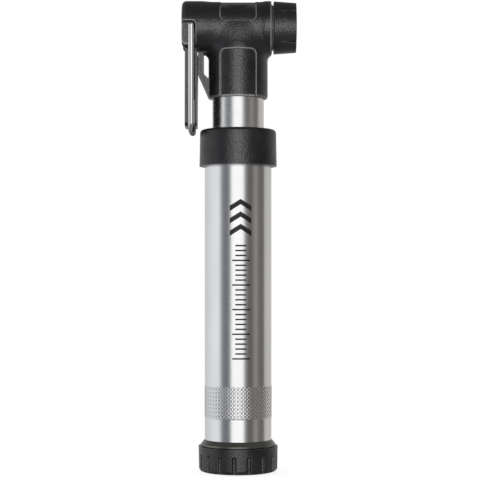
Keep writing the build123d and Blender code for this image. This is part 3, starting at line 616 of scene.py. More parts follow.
BRASS = TurnedMetal(
    "turned_brass", (0.83, 0.62, 0.3), (0.7, 0.5, 0.22), 0.24, grain=Grain.CHUCK, mark_pitch=0.15
)
NYLON = MouldedPlastic(
    "black_nylon",
    (0.013, 0.0125, 0.014),
    (0.006, 0.006, 0.007),
    # Paler edge colour: partly wear, partly painted highlight.
    (0.12, 0.12, 0.122),
    0.3,
    grain_size=0.62,
    grain_depth=0.14,
    gloss=0.5,
)
# The head's paler edge colour is partly wear and partly a painted highlight along its panel edges;
# its bend adds painted highlights on ridges and painted shade in creases.
HEAD_NYLON = replace(NYLON, name="head_nylon", wear_and_highlight=(0.2, 0.195, 0.2), has_bend=True)
RUBBER = SoftRubber("black_rubber", (0.018, 0.018, 0.019), (0.05, 0.05, 0.052))
GASKET_RUBBER = SoftRubber("grey_rubber", (0.09, 0.09, 0.095), (0.15, 0.15, 0.155), 0.58)
ACETAL = PaleAcetal("white_acetal", (0.82, 0.81, 0.78), (0.76, 0.75, 0.72))
CHUCK_ACETAL = PaleAcetal("chuck_acetal", (0.82, 0.81, 0.78), (0.76, 0.75, 0.72), Grain.CHUCK)
INK = PrintInk("black_ink", (0.012, 0.012, 0.013), (0.03, 0.03, 0.032))
SWEEP = PaleSweep("pale_sweep", (0.92, 0.92, 0.92), 0.8)


# ---------------------------------------------------------------- mesh making
def new_piece(
    name: str,
    points: Points,
    faces: np.ndarray | list,
    finish: bpy.types.Material,
) -> bpy.types.Object:
    """Make a shown mesh object from points in millimetres.

    Args:
        name: the piece's name.
        points: n rows of x, y, z in millimetres.
        faces: the faces, as rows of point numbers.
        finish: the material.

    Returns:
        The new object, linked to the scene.
    """
    mesh = bpy.data.meshes.new(name)
    mesh.from_pydata((points * MM).tolist(), [], [list(map(int, face)) for face in faces])
    mesh.update()
    mesh.shade_smooth()
    mesh.materials.append(finish)
    piece = bpy.data.objects.new(name, mesh)
    bpy.context.scene.collection.objects.link(piece)
    return piece


def ring_faces(rows: int, columns: int) -> np.ndarray:
    """Quads of a closed ring grid that wraps both ways.

    Args:
        rows: points round the section.
        columns: points round the axis.

    Returns:
        rows times columns quads.
    """
    row, column = np.meshgrid(np.arange(rows), np.arange(columns), indexing="ij")
    next_row = (row + 1) % rows
    next_column = (column + 1) % columns
    quads = [
        row * columns + column,
        row * columns + next_column,
        next_row * columns + next_column,
        next_row * columns + column,
    ]
    return np.stack(quads, axis=-1).reshape(-1, 4)


def round_max(first: Distance, second: Distance, radius: float | Distance) -> Distance:
    """Common part of two shapes, its outer edge rounded.

    Args:
        first: distances to the first shape.
        second: distances to the second shape.
        radius: the edge's radius, one value or one at each point.

    Returns:
        Distances to what the shapes share.
    """
    over_first = np.maximum(first + radius, 0.0)
    over_second = np.maximum(second + radius, 0.0)
    return np.minimum(-radius, np.maximum(first, second)) + np.hypot(over_first, over_second)


def round_min(first: Distance, second: Distance, radius: float) -> Distance:
    """Union of two shapes, its inner corner filled to a radius."""
    return -round_max(-first, -second, radius)


def carve(shape: Distance, tool: Distance, radius: float | Distance) -> Distance:
    """Shape with the tool cut out of it, the cut's rim rounded to a radius."""
    return round_max(shape, -tool, radius)


def ease(share: Points) -> Points:
    """Smooth step from 0 to 1 as the share goes from 0 to 1."""
    share = np.clip(share, 0.0, 1.0)
    return share**2 * (3 - 2 * share)


def box_distance(
    across: Points,
    up: Points,
    low: tuple[float, float],
    high: tuple[float, float],
    corner: float = 0.0,
) -> Distance:
    """Distance to a flat rectangle.

    Args:
        across: first coordinate of the points.
        up: second coordinate of the points.
        low: its lower corner.
        high: its upper corner.
        corner: radius of its corners.

    Returns:
        The distance, negative inside.
    """
    from_side = np.maximum(low[0] - across, across - high[0])
    from_end = np.maximum(low[1] - up, up - high[1])
    return round_max(from_side, from_end, corner) if corner else np.maximum(from_side, from_end)


def polygon_distance(across: Points, up: Points, corners: list[tuple[float, float]]) -> Distance:
    """Distance to a flat polygon.

    Args:
        across: first coordinate of the points.
        up: second coordinate of the points.
        corners: its corners, in order.

    Returns:
        The distance, negative inside.
    """
    nearest = np.full(across.shape, np.inf)
    inside = np.zeros(across.shape, bool)
    for (ax, ay), (bx, by) in zip(corners, corners[1:] + corners[:1]):
        edge_x, edge_y = bx - ax, by - ay
        share = ((across - ax) * edge_x + (up - ay) * edge_y) / (edge_x**2 + edge_y**2)
        share = np.clip(share, 0.0, 1.0)
        gap = np.hypot(across - ax - share * edge_x, up - ay - share * edge_y)
        nearest = np.minimum(nearest, gap)
        if by != ay:
            crosses = ((ay > up) != (by > up)) & (across < edge_x * (up - ay) / edge_y + ax)
            inside ^= crosses
    return np.where(inside, -nearest, nearest)


class SolidSkin:
    """Turns a distance function into a closed, even mesh of quads."""

    def __init__(
        self, distance: Callable[[Points], Distance], low: Points, high: Points, pitch: float
    ) -> None:
        """Keep what to mesh.

        Args:
            distance: gives the signed distance at n points, in millimetres.
            low: lower corner of the volume that holds the shape.
            high: upper corner of that volume.
            pitch: side of a grid cell.
        """
        self.distance = distance
        self.low = low
        self.counts = np.ceil((high - low) / pitch).astype(int) + 1
        self.pitch = pitch

    def field(self) -> np.ndarray:
        """Distances at every grid point, layer by layer.

        Returns:
            A three-way array of distances.
        """
        axes = [self.low[i] + self.pitch * np.arange(self.counts[i]) for i in range(3)]
        layers = []
        for x in axes[0]:
            y, z = np.meshgrid(axes[1], axes[2], indexing="ij")
            points = np.stack([np.full(y.size, x), y.ravel(), z.ravel()], axis=1)
            layers.append(self.distance(points).reshape(y.shape))
        return np.stack(layers)

    def normals(self, points: Points) -> Points:
        """Outward directions at points near the surface.

        Args:
            points: n rows of x, y, z in millimetres.

        Returns:
            n rows of unit length.
        """
        step = 0.02
        slopes = []
        for axis in range(3):
            offset = np.zeros(3)
            offset[axis] = step
            slopes.append(self.distance(points + offset) - self.distance(points - offset))
        slope = np.stack(slopes, axis=1)
        return slope / np.maximum(np.linalg.norm(slope, axis=1, keepdims=True), 1e-9)

    def bend(self, points: Points) -> Distance:
        """How sharply the surface turns at points near it, per millimetre.

        Args:
            points: n rows of x, y, z in millimetres.

        Returns:
            n values, above zero on ridges and below zero in creases.
        """
        step = 0.2
        around = -6.0 * self.distance(points)
        for axis in range(3):
            offset = np.zeros(3)
            offset[axis] = step
            around += self.distance(points + offset) + self.distance(points - offset)
        return around / step**2

    def mesh(self) -> tuple[Points, np.ndarray, Points]:
        """Mesh the surface.

        Returns:
            Points, quads and the outward direction at each point.
        """
        field = self.field()
        cells = tuple(n - 1 for n in field.shape)
        inside = field < 0
        corners = [(a, b, c) for a in (0, 1) for b in (0, 1) for c in (0, 1)]

        def shifted(array: np.ndarray, corner: tuple[int, int, int]) -> np.ndarray:
            """The grid's values at one corner of every cell."""
            return array[tuple(slice(corner[i], corner[i] + cells[i]) for i in range(3))]

        filled = sum(shifted(inside, corner).astype(int) for corner in corners)
        mixed = (filled > 0) & (filled < 8)
        number = np.full(cells, -1)
        number[mixed] = np.arange(mixed.sum())
        where = np.argwhere(mixed)
        total = np.zeros((len(where), 3))
        hits = np.zeros(len(where))
        for start in corners:
            for axis in range(3):
                if start[axis]:
                    continue
                end = tuple(1 if i == axis else start[i] for i in range(3))
                here = shifted(field, start)[mixed]
                there = shifted(field, end)[mixed]
                crossed = (here < 0) != (there < 0)
                share = np.where(crossed, here / np.where(crossed, here - there, 1.0), 0.0)
                spot = np.array(start, float)[None, :].repeat(len(where), axis=0)
                spot[:, axis] += share
                total += spot * crossed[:, None]
                hits += crossed
        points = self.low + self.pitch * (where + total / hits[:, None])
        for _ in range(4):
            move = np.clip(self.distance(points), -0.4 * self.pitch, 0.4 * self.pitch)
            points = points - move[:, None] * self.normals(points)
        quads = [self._quads(inside, number, axis) for axis in range(3)]
        return points, np.concatenate(quads), self.normals(points)

    @staticmethod
    def _quads(inside: np.ndarray, number: np.ndarray, axis: int) -> np.ndarray:
        """Quads round the grid edges that run along one axis and cross the surface.

        Args:
            inside: which grid points are inside the shape.
            number: the point number of each cell, or -1.
            axis: the axis that the edges run along.

        Returns:
            The quads, facing outwards.
        """
        first, second = (axis + 1) % 3, (axis + 2) % 3
        here = inside.take(range(inside.shape[axis] - 1), axis)
        there = inside.take(range(1, inside.shape[axis]), axis)
        spots = np.argwhere(here != there)
        edge = (spots[:, first] > 0) & (spots[:, second] > 0)
        edge &= spots[:, first] < inside.shape[first] - 1
        edge &= spots[:, second] < inside.shape[second] - 1
        spots = spots[edge]
        outward = here[tuple(spots.T)]
        quad = []
        for back_first, back_second in ((1, 1), (0, 1), (0, 0), (1, 0)):
            cell = spots.copy()
            cell[:, first] -= back_first
            cell[:, second] -= back_second
            quad.append(number[tuple(cell.T)])
        quad = np.stack(quad, axis=1)
        return np.where(outward[:, None], quad, quad[:, ::-1])


def carry(piece: bpy.types.Object, name: str, values: np.ndarray) -> None:
    """Let a piece's mesh carry a value at each of its points.

    Args:
        piece: the piece.
        name: name that a material reads the values by.
        values: one value for each point.
    """
    carrier = piece.data.attributes.new(name, "FLOAT", "POINT")
    carrier.data.foreach_set("value", values.astype(np.float32))


def dress(node: bpy.types.Object, finish: bpy.types.Material) -> None:
    """Replace a CAD node's material with a detailed one.

    Args:
        node: the node's object.
        finish: the material that it gets.
    """
    node.data.materials.clear()
    node.data.materials.append(finish)
    log.info("%s wears %s", node.name, finish.name)


def span(node: str) -> tuple[np.ndarray, np.ndarray]:
    """Lowest and highest corners of a CAD node in millimetres."""
    low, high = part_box(node)
    return np.array(low) / MM, np.array(high) / MM


# ---------------------------------------------------------------- barrel
@dataclass
class Barrel:
    """Drawn tube with a rolled diamond knurl, a serrated seat and a print."""

    metal: bpy.types.Material
    ink: bpy.types.Material
    wall: float = 1.0
    knurl_start: float = 8.0
    knurl_length: float = 11.8
    knurl_height: float = 0.12
    knurl_depth: float = 0.1
    knurl_count: int = 54
    samples_per_diamond: int = 10
    rows_per_diamond: int = 9
    groove_slope: float = 4.2
    knurl_fade: float = 0.35
    knurl_margin: float = 0.6
    row_gap: float = 0.02
    serration_count: int = 180
    serration_depth: float = 0.05
    serration_length: float = 0.8
    serration_cover: float = 0.4
    serration_fade: float = 0.15
    serration_margin: float = 0.2
    chamfer: float = 0.15
    print_turn: float = 4.3
    print_film: float = 0.03
    chevron_count: int = 3
    chevron_top: float = 97.5
    chevron_spacing: float = 4.4
    chevron_half_width: float = 3.9
    chevron_weight: float = 1.9
    chevron_slope: float = 0.62
    chevron_columns: int = 17
    bar_count: int = 24
    bar_weight: float = 0.55
    bar_step: float = 0.6
    scale_foot: float = 41.0
    scale_length: float = 40.0
    long_every: int = 5
    long_bar: tuple[float, float] = (-3.0, 3.4)
    short_bar: tuple[float, float] = (-1.9, 2.1)

    def __post_init__(self) -> None:
        """Read the barrel's box from the CAD frame."""
        low, high = span("barrel")
        self.bottom, self.top = low[2], high[2]
        self.radius = high[0] - self.knurl_height
        self.collar_edge = span("collar")[0][2]
        self.columns = self.knurl_count * self.samples_per_diamond
        self.pitch = 2 * math.pi * self.radius / self.knurl_count

    def outer_rows(self) -> list[tuple[float, float]]:
        """Heights of the outer wall's rows, each with its share of knurl.

        Returns:
            Pairs of height and knurl share, from bottom to top.
        """
        start = self.bottom + self.knurl_start
        end = start + self.knurl_length
        count = round(self.knurl_length / self.pitch * self.rows_per_diamond)
        plain = [self.bottom + self.chamfer, start - self.knurl_margin, start - self.row_gap]
        rows = [(height, 0.0) for height in plain]
        for i in range(count + 1):
            height = start + self.knurl_length * i / count
            inside = min(height - start, end - height)
            rows.append((height, min(1.0, inside / self.knurl_fade)))
        plain = [end + self.row_gap, end + self.knurl_margin, (end + self.collar_edge) / 2]
        return rows + [(height, 0.0) for height in plain]

    def diamonds(self, angles: Points, height: float) -> Points:
        """Relief of the knurl, rounded diamonds between two sets of crossing grooves.

        Args:
            angles: angles round the axis, in radians.
            height: height above the floor.

        Returns:
            0 in the grooves and 1 on the diamonds' tops.
        """
        turn = angles * self.knurl_count / (2 * math.pi)
        rise = height / self.pitch
        left = np.abs((turn + rise) % 1.0 - 0.5) * 2
        right = np.abs((turn - rise) % 1.0 - 0.5) * 2
        inset = np.clip(self.groove_slope * np.minimum(1 - left, 1 - right), 0.0, 1.0)
        return 1.0 - (1.0 - inset) ** 2

    def tube(self) -> bpy.types.Object:
        """Build the barrel's wall.

        Returns:
            The barrel's mesh, which stands for the CAD barrel.
        """
        angles = 2 * math.pi * np.arange(self.columns) / self.columns
        rings = []
        heights = []
        grooves = []

        def add(radius: Points | float, height: float, groove: Points | float = 0.0) -> None:
            """Add one ring of points.

            Args:
                radius: the ring's radius, one value or one at each point.
                height: its height.
                groove: how deep in a groove its points are, 0 to 1.
            """
            rings.append(np.broadcast_to(radius, angles.shape))
            heights.append(height)
            grooves.append(np.broadcast_to(groove, angles.shape))

        bore = self.radius - self.wall
        add(self.radius - self.chamfer, self.bottom)
        for height, share in self.outer_rows():
            top = self.diamonds(angles, height)
            relief = (self.knurl_height + self.knurl_depth) * top
            add(self.radius + share * (relief - self.knurl_depth), height, share * (1.0 - top))
        teeth = self.serration_depth * (0.5 + 0.5 * np.cos(angles * self.serration_count))
        seat = self.collar_edge - self.serration_length
        covered = self.collar_edge + self.serration_cover
        add(self.radius, seat - self.serration_margin)
        add(self.radius, seat)
        add(self.radius - teeth, seat + self.serration_fade)
        add(self.radius - teeth, covered)
        add(self.radius, covered + self.serration_margin)
        add(self.radius, self.top - self.chamfer)
        add(self.radius - self.chamfer, self.top)
        add(bore + self.chamfer, self.top)
        add(bore, self.top - self.chamfer)
        add(bore, (self.top + self.bottom) / 2)
        add(bore, self.bottom + self.chamfer)
        add(bore + self.chamfer, self.bottom)
        radii = np.stack(rings)
        rise = np.array(heights)[:, None].repeat(self.columns, axis=1)
        points = np.stack([radii * np.cos(angles), radii * np.sin(angles), rise], axis=-1)
        faces = ring_faces(len(heights), self.columns)
        tube = new_piece("barrel_tube", points.reshape(-1, 3), faces, self.metal)
        tube.data.set_sharp_from_angle(angle=SHARP_ANGLE)
        # The groove depth drives the metal's painted shade in the knurl's grooves.
        carry(tube, "groove", np.stack(grooves).ravel())
        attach(tube, "barrel_assembly")
        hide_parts("barrel")
        return tube

    def plate(self, name: str, columns: list[tuple[float, float, float]]) -> bpy.types.Object:
        """Lay one inked patch on the barrel.

        Args:
            name: the piece's name.
            columns: arc position, lower and upper height of each edge, left to right.

        Returns:
            The patch, a thin closed shell.
        """
        points = []
        for film in (-self.print_film, self.print_film):
            for arc, low, high in columns:
                turn = math.radians(self.print_turn) + arc / self.radius
                radius = self.radius + film
                for height in (low, high):
                    points.append((radius * math.sin(turn), -radius * math.cos(turn), height))
        outer = 2 * len(columns)
        faces = []
        for low in range(0, outer - 2, 2):
            high = low + 1
            faces.append((low + outer, low + 2 + outer, high + 2 + outer, high + outer))
            faces.append((low, high, high + 2, low + 2))
            faces.append((low, low + 2, low + 2 + outer, low + outer))
            faces.append((high, high + outer, high + 2 + outer, high + 2))
        last = outer - 2
        faces.append((0, outer, outer + 1, 1))
        faces.append((last, last + 1, last + 1 + outer, last + outer))
        patch = new_piece(name, np.array(points), faces, self.ink)
        patch.data.set_sharp_from_angle(angle=SHARP_ANGLE)
        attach(patch, "barrel_assembly")
        return patch

    def chevron(self, name: str, tip: float) -> bpy.types.Object:
        """Ink one upward chevron.

        Args:
            name: the piece's name.
            tip: height of its tip.

        Returns:
            The chevron.
        """
        columns = []
        for arc in np.linspace(-1.0, 1.0, self.chevron_columns) * self.chevron_half_width:
            top = tip - self.chevron_slope * abs(arc)
            columns.append((float(arc), top - self.chevron_weight, top))
        return self.plate(name, columns)

    def bar(self, name: str, height: float, ends: tuple[float, float]) -> bpy.types.Object:
        """Ink one level bar.

        Args:
            name: the piece's name.
            height: height of its middle.
            ends: arc positions of its two ends.

        Returns:
            The bar.
        """
        low, high = height - self.bar_weight / 2, height + self.bar_weight / 2
        count = max(3, int((ends[1] - ends[0]) / self.bar_step))
        return self.plate(name, [(float(arc), low, high) for arc in np.linspace(*ends, count)])

    def print_marks(self) -> list[bpy.types.Object]:
        """Ink a plain motif: three chevrons over a long scale of bars.

        Returns:
            The inked patches.
        """
        marks = []
        for i in range(self.chevron_count):
            tip = self.chevron_top - self.chevron_spacing * i
            marks.append(self.chevron(f"ink_chevron_{i + 1}", tip))
        for i in range(self.bar_count):
            height = self.scale_foot + i * self.scale_length / (self.bar_count - 1)
            ends = self.short_bar if i % self.long_every else self.long_bar
            marks.append(self.bar(f"ink_bar_{i + 1:02d}", height, ends))
        return marks

    def build(self) -> list[bpy.types.Object]:
        """Build the barrel and its print.

        Returns:
            The new pieces.
        """
        return [self.tube(), *self.print_marks()]


# ---------------------------------------------------------------- head
@dataclass
class Head:
    """One-piece nylon head: chuck housing blended into a stem, with its recesses."""

    finish: bpy.types.Material
    pitch: float = 0.33
    margin: float = 1.0
    beyond: float = 30.0
    press_gap: float = 0.02
    running_gap: float = 0.06
    edge: float = 0.22
    housing_radius: float = 9.3
    flare: float = 0.3
    tail_flare_reach: float = 8.0
    tail_flare_run: float = 5.0
    nose_flare_reach: float = 2.7
    nose_flare_run: float = 2.2
    tail_fillet: float = 1.6
    nose_fillet: float = 0.4
    stem_wall: float = 1.4
    stem_fillet: float = 0.8
    dome_radius: float = 8.55
    dome_drop: float = 0.8
    dome_reach: float = 1.7
    seam_blend: float = 2.6
    panel_half_width: float = 6.25
    panel_corner: float = 1.7
    lower_panel_drop: float = 8.9
    lower_panel_depth: float = 0.35
    lower_panel_edge: float = 0.3
    upper_panel_rise: float = 1.5
    upper_panel_depth: float = 0.2
    upper_panel_slope: float = 0.3
    upper_panel_edge: float = 0.18
    upper_panel_run: float = 6.0
    gusset_offset: float = 2.2
    gusset_thickness: float = 2.0
    gusset_half_width: float = 4.0
    gusset_drop: float = 7.6
    gusset_root: float = 3.0
    gusset_foot: float = 0.3
    gusset_overlap: float = 2.0
    gusset_edge: float = 0.35
    gusset_blend: float = 0.5
    window_slope: float = 1.7
    cap_gap: float = 0.8
    neck_radius: float = 8.15
    neck_gap: float = 0.15
    neck_edge: float = 0.2
    neck_root: float = 3.0
    thread_radius: float = 7.2
    thread_depth: float = 0.4
    thread_pitch: float = 1.5
    thread_run_out: float = 0.6
    thread_edge: float = 0.3
    cheek_face: float = 6.85
    cheek_half_gap: float = 5.0
    leg_gap: float = 0.25
    pocket_radius: float = 5.85
    slot_depth: float = 2.8
    slot_lip: float = 0.4
    slot_clearance: float = 0.05
    plunger_bore: float = 3.66
    plunger_length: float = 7.3
    chuck_bore: float = 6.0
    valve_chamber: float = 3.36
    spring_shelf: float = 2.45
    air_way: float = 1.8
    bore_edge: float = 0.1
    socket_edge: float = 0.15
    chuck_edge: float = 0.2

    def __post_init__(self) -> None:
        """Read the head's box and its neighbours' from the CAD frame."""
        low, high = span("head_body")
        self.left, self.thread_end, self.stem_bottom = low[0], high[0], low[2]
        self.axis = high[2] - self.housing_radius - self.flare
        self.underside = self.axis - self.housing_radius
        self.socket_radius = span("inner_tube")[1][0] + self.press_gap
        self.stem_radius = self.socket_radius + self.stem_wall
        wire_low, wire_high = span("wire_bail")
        self.wire_radius = (wire_high[0] - wire_low[0]) / 2
        self.pivot_x = (wire_high[0] + wire_low[0]) / 2
        self.pivot_z = wire_high[2] - self.wire_radius
        self.cap_left = span("chuck_cap")[0][0]
        self.right = self.cap_left - self.cap_gap
        self.plunger_back = span("plunger")[0][0]
        self.socket_top = span("valve_seat")[1][2] + self.press_gap

    def housing(self, x: Points, across: Points) -> Distance:
        """Chuck housing: a barrel across the stem, flared at both ends.

        Args:
            x: positions along the chuck.
            across: distances from the chuck's axis.

        Returns:
            Distances to its surface.
        """
        left = (self.pivot_x + self.tail_flare_reach - x) / self.tail_flare_run
        right = (x - self.stem_radius + self.nose_flare_reach) / self.nose_flare_run
        flare = self.flare * (ease(left) + ease(right))
        wall = across - self.housing_radius - flare
        body = round_max(wall, self.left - x, self.tail_fillet)
        return round_max(body, x - self.right, self.nose_fillet)

    def stem(self, z: Points, around: Points) -> Distance:
        """Stem under the housing, closing in as it reaches the chuck's axis.

        Args:
            z: heights.
            around: distances from the pump's axis.

        Returns:
            Distances to its surface.
        """
        height = self.housing_radius - self.dome_drop
        rise = np.clip((z - self.underside) / height, 0.0, self.dome_reach)
        wall = around - self.stem_radius + (self.stem_radius - self.dome_radius) * rise**2
        body = round_max(wall, self.stem_bottom - z, self.stem_fillet)
        return np.maximum(body, z - self.underside - self.dome_reach * height)

    def gusset(self, x: Points, y: Points, z: Points) -> Distance:
        """Strap beside the lever, with its window.

        Args:
            x: positions along the chuck.
            y: positions across the head.
            z: heights.

        Returns:
            Distances to its surface.
        """
        bend = self.underside - self.gusset_drop
        outer = self.pivot_x + self.gusset_offset
        inner = outer + self.gusset_thickness
        top = self.underside + self.gusset_root
        side = -self.stem_radius
        within = side + self.gusset_overlap
        foot = self.stem_bottom + self.gusset_foot
        sill = bend - self.window_slope
        profile = [(outer, top), (outer, bend), (side, foot), (within, foot), (within, top)]
        ceiling = self.underside
        window = [(inner, ceiling), (inner, bend), (side, sill), (within, sill), (within, ceiling)]
        strap = polygon_distance(x, z, profile)
        strap = carve(strap, polygon_distance(x, z, window), self.edge)
        return round_max(strap, np.abs(y) - self.gusset_half_width, self.gusset_edge)

    def thread(self, x: Points, y: Points, z: Points, across: Points) -> Distance:
        """Neck and screw thread that the cap runs on.

        Args:
            x: positions along the chuck.
            y: positions across the head.
            z: heights.
            across: distances from the chuck's axis.

        Returns:
            Distances to their surface.
        """
        turn = np.arctan2(z - self.axis, y) / (2 * math.pi)
        wave = np.cos(2 * math.pi * (x / self.thread_pitch - turn))
        groove = self.thread_depth * (0.5 - 0.5 * wave)
        ramp = np.clip((x - self.cap_left) / self.thread_run_out, 0.0, 1.0)
        crest = across - self.thread_radius + groove * ramp
        screw = round_max(crest, x - self.thread_end, self.thread_edge)
        shoulder = x - self.cap_left + self.neck_gap
        neck = round_max(across - self.neck_radius, shoulder, self.neck_edge)
        return np.maximum(np.minimum(screw, neck), self.right - self.neck_root - x)

    def panels(
        self, body: Distance, x: Points, z: Points, around: Points, across: Points
    ) -> Distance:
        """Sink the panels: one down the stem, one over the housing's top.

        Args:
            body: distances to the plain head.
            x: positions along the chuck.
            z: heights.
            around: distances from the pump's axis.
            across: distances from the chuck's axis.

        Returns:
            Distances to the head with its panels.
        """
        half = self.panel_half_width
        top = self.axis - self.lower_panel_drop
        bottom = self.stem_bottom - self.beyond
        low = box_distance(x, z, (-half, bottom), (half, top), self.panel_corner)
        sunk = np.maximum(low, self.stem_radius - self.lower_panel_depth - around)
        body = carve(body, sunk, self.lower_panel_edge)
        foot = self.axis + self.upper_panel_rise
        high = box_distance(x, z, (-half, foot), (half, foot + self.beyond), self.panel_corner)
        share = 1.0 - np.clip((z - foot) / self.upper_panel_run, 0.0, 1.0)
        depth = self.upper_panel_depth + self.upper_panel_slope * share
        sunk = np.maximum(high, self.housing_radius - depth - across)
        return carve(body, sunk, self.upper_panel_edge * (1.0 + share))

    def recesses(self, body: Distance, x: Points, y: Points, z: Points) -> Distance:
        """Cut the wire's flats, the lever's slot, the cam's pocket and the pin's hole.

        Args:
            body: distances to the head so far.
            x: positions along the chuck.
            y: positions across the head.
            z: heights.

        Returns:
            Distances to the head with its recesses.
        """
        far = (self.pivot_x - self.beyond, self.pivot_z - self.beyond)
        arm = self.wire_radius + self.leg_gap
        flats = box_distance(x, z, far, (self.pivot_x + arm, self.pivot_z + arm), arm)
        body = carve(body, np.maximum(flats, self.cheek_face - np.abs(y)), self.edge)
        from_pin = np.hypot(x - self.pivot_x, z - self.pivot_z)
        pocket = np.maximum(from_pin - self.pocket_radius, self.pivot_x - x)
        corner = (self.pivot_x - self.slot_depth, self.pivot_z)
        lip = self.pivot_z + self.pocket_radius - self.slot_lip
        upper = box_distance(x, z, corner, (self.pivot_x, lip))
        wall = self.pivot_x + self.gusset_offset - self.slot_clearance
        slot = box_distance(x, z, far, (wall, self.pivot_z + self.slot_depth))
        opening = np.minimum(np.minimum(pocket, upper), slot)
        body = carve(body, np.maximum(opening, np.abs(y) - self.cheek_half_gap), self.edge)
        return carve(body, from_pin - self.wire_radius - self.running_gap, self.bore_edge)

    def bores(
        self, body: Distance, x: Points, z: Points, around: Points, across: Points
    ) -> Distance:
        """Cut the chuck's bore, the tube's socket, the valve's chamber and the air way.

        Args:
            body: distances to the head so far.
            x: positions along the chuck.
            z: heights.
            around: distances from the pump's axis.
            across: distances from the chuck's axis.

        Returns:
            Distances to the finished head.
        """
        step = self.plunger_back + self.plunger_length
        start = self.pivot_x + self.pocket_radius / 2
        shelf = self.socket_top + self.spring_shelf
        for wall, end, edge in (
            (across - self.plunger_bore, start - x, self.bore_edge),
            (across - self.chuck_bore, step - x, self.chuck_edge),
            (around - self.socket_radius, z - self.socket_top, self.socket_edge),
            (around - self.valve_chamber, z - shelf, self.bore_edge),
            (around - self.air_way, z - self.axis, self.bore_edge),
        ):
            body = carve(body, np.maximum(wall, end), edge)
        return body

    def distance(self, points: Points) -> Distance:
        """Signed distance to the head's surface.

        Args:
            points: n rows of x, y, z in millimetres.

        Returns:
            n distances, negative inside.
        """
        x, y, z = points.T
        around = np.hypot(x, y)
        across = np.hypot(y, z - self.axis)
        body = round_min(self.housing(x, across), self.stem(z, around), self.seam_blend)
        body = round_min(body, self.gusset(x, y, z), self.gusset_blend)
        body = np.minimum(body, self.thread(x, y, z, across))
        body = self.panels(body, x, z, around, across)
        body = self.recesses(body, x, y, z)
        return self.bores(body, x, z, around, across)

    def build(self) -> bpy.types.Object:
        """Mesh the head.

        Returns:
            The head, which stands for the CAD head body.
        """
        low, high = span("head_body")
        skin = SolidSkin(self.distance, low - self.margin, high + self.margin, self.pitch)
        points, quads, normals = skin.mesh()
        points = np.clip(points, low, high)
        head = new_piece("head_shell", points, quads, self.finish)
        head.data.normals_split_custom_set_from_vertices(normals.tolist())
        # The bend drives the painted highlights on ridges and the painted shade in creases.
        carry(head, "bend", skin.bend(points))
        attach(head, "head")
        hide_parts("head_body")
        return head


# ---------------------------------------------------------------- carried-over nodes
@dataclass
class Fittings:
    """Pieces whose CAD shape is right and which only need their finish."""

    frame: dict
    finishes: dict[str, bpy.types.Material]
    valve_travel: float = 0.8

    def plan(self) -> dict[str, list[str]]:
        """Which nodes wear which finish.

        Returns:
            Finish names with their nodes.
        """
        return {
            "nylon": ["collar", "mode_knob", "chuck_cap", "lever"],
            "tube": ["inner_tube", "plunger_rod"],
            "anodised": ["end_plug"],
            "wire": ["wire_bail"],
            "acetal": ["guide_bush", "inner_piston", "tail_piston", "valve_seat"],
            "chuck_acetal": ["plunger"],
            "rubber": [
                "plug_o_ring",
                "vent_seal",
                "inner_piston_o_ring",
                "tail_piston_o_ring",
                "bump_ring",
                "wiper_ring",
                "valve_seat_o_ring",
                "check_valve",
                "plunger_o_ring",
            ],
            "gasket": ["valve_gasket"],
            "zinc": ["stop_pin", "knob_screw", "spring_washer", "piston_screw", "valve_spring"],
            "brass": ["valve_pin"],
        }

    def valve_coil(self) -> bpy.types.Object:
        """Add a copy of the valve's spring, hung on the head.

        Returns:
            The spring, which stands for the CAD spring.
        """
        mesh = self.frame["nodes"]["valve_spring"].data.copy()
        coil = bpy.data.objects.new("valve_coil", mesh)
        bpy.context.scene.collection.objects.link(coil)
        dress(coil, self.finishes["zinc"])
        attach(coil, "head")
        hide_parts("valve_spring")
        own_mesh(coil)
        return coil

    def build(self) -> None:
        """Dress every carried-over node and add the copied spring."""
        for finish, nodes in self.plan().items():
            for node in nodes:
                dress(self.frame["nodes"][node], self.finishes[finish])
        self.valve_coil()


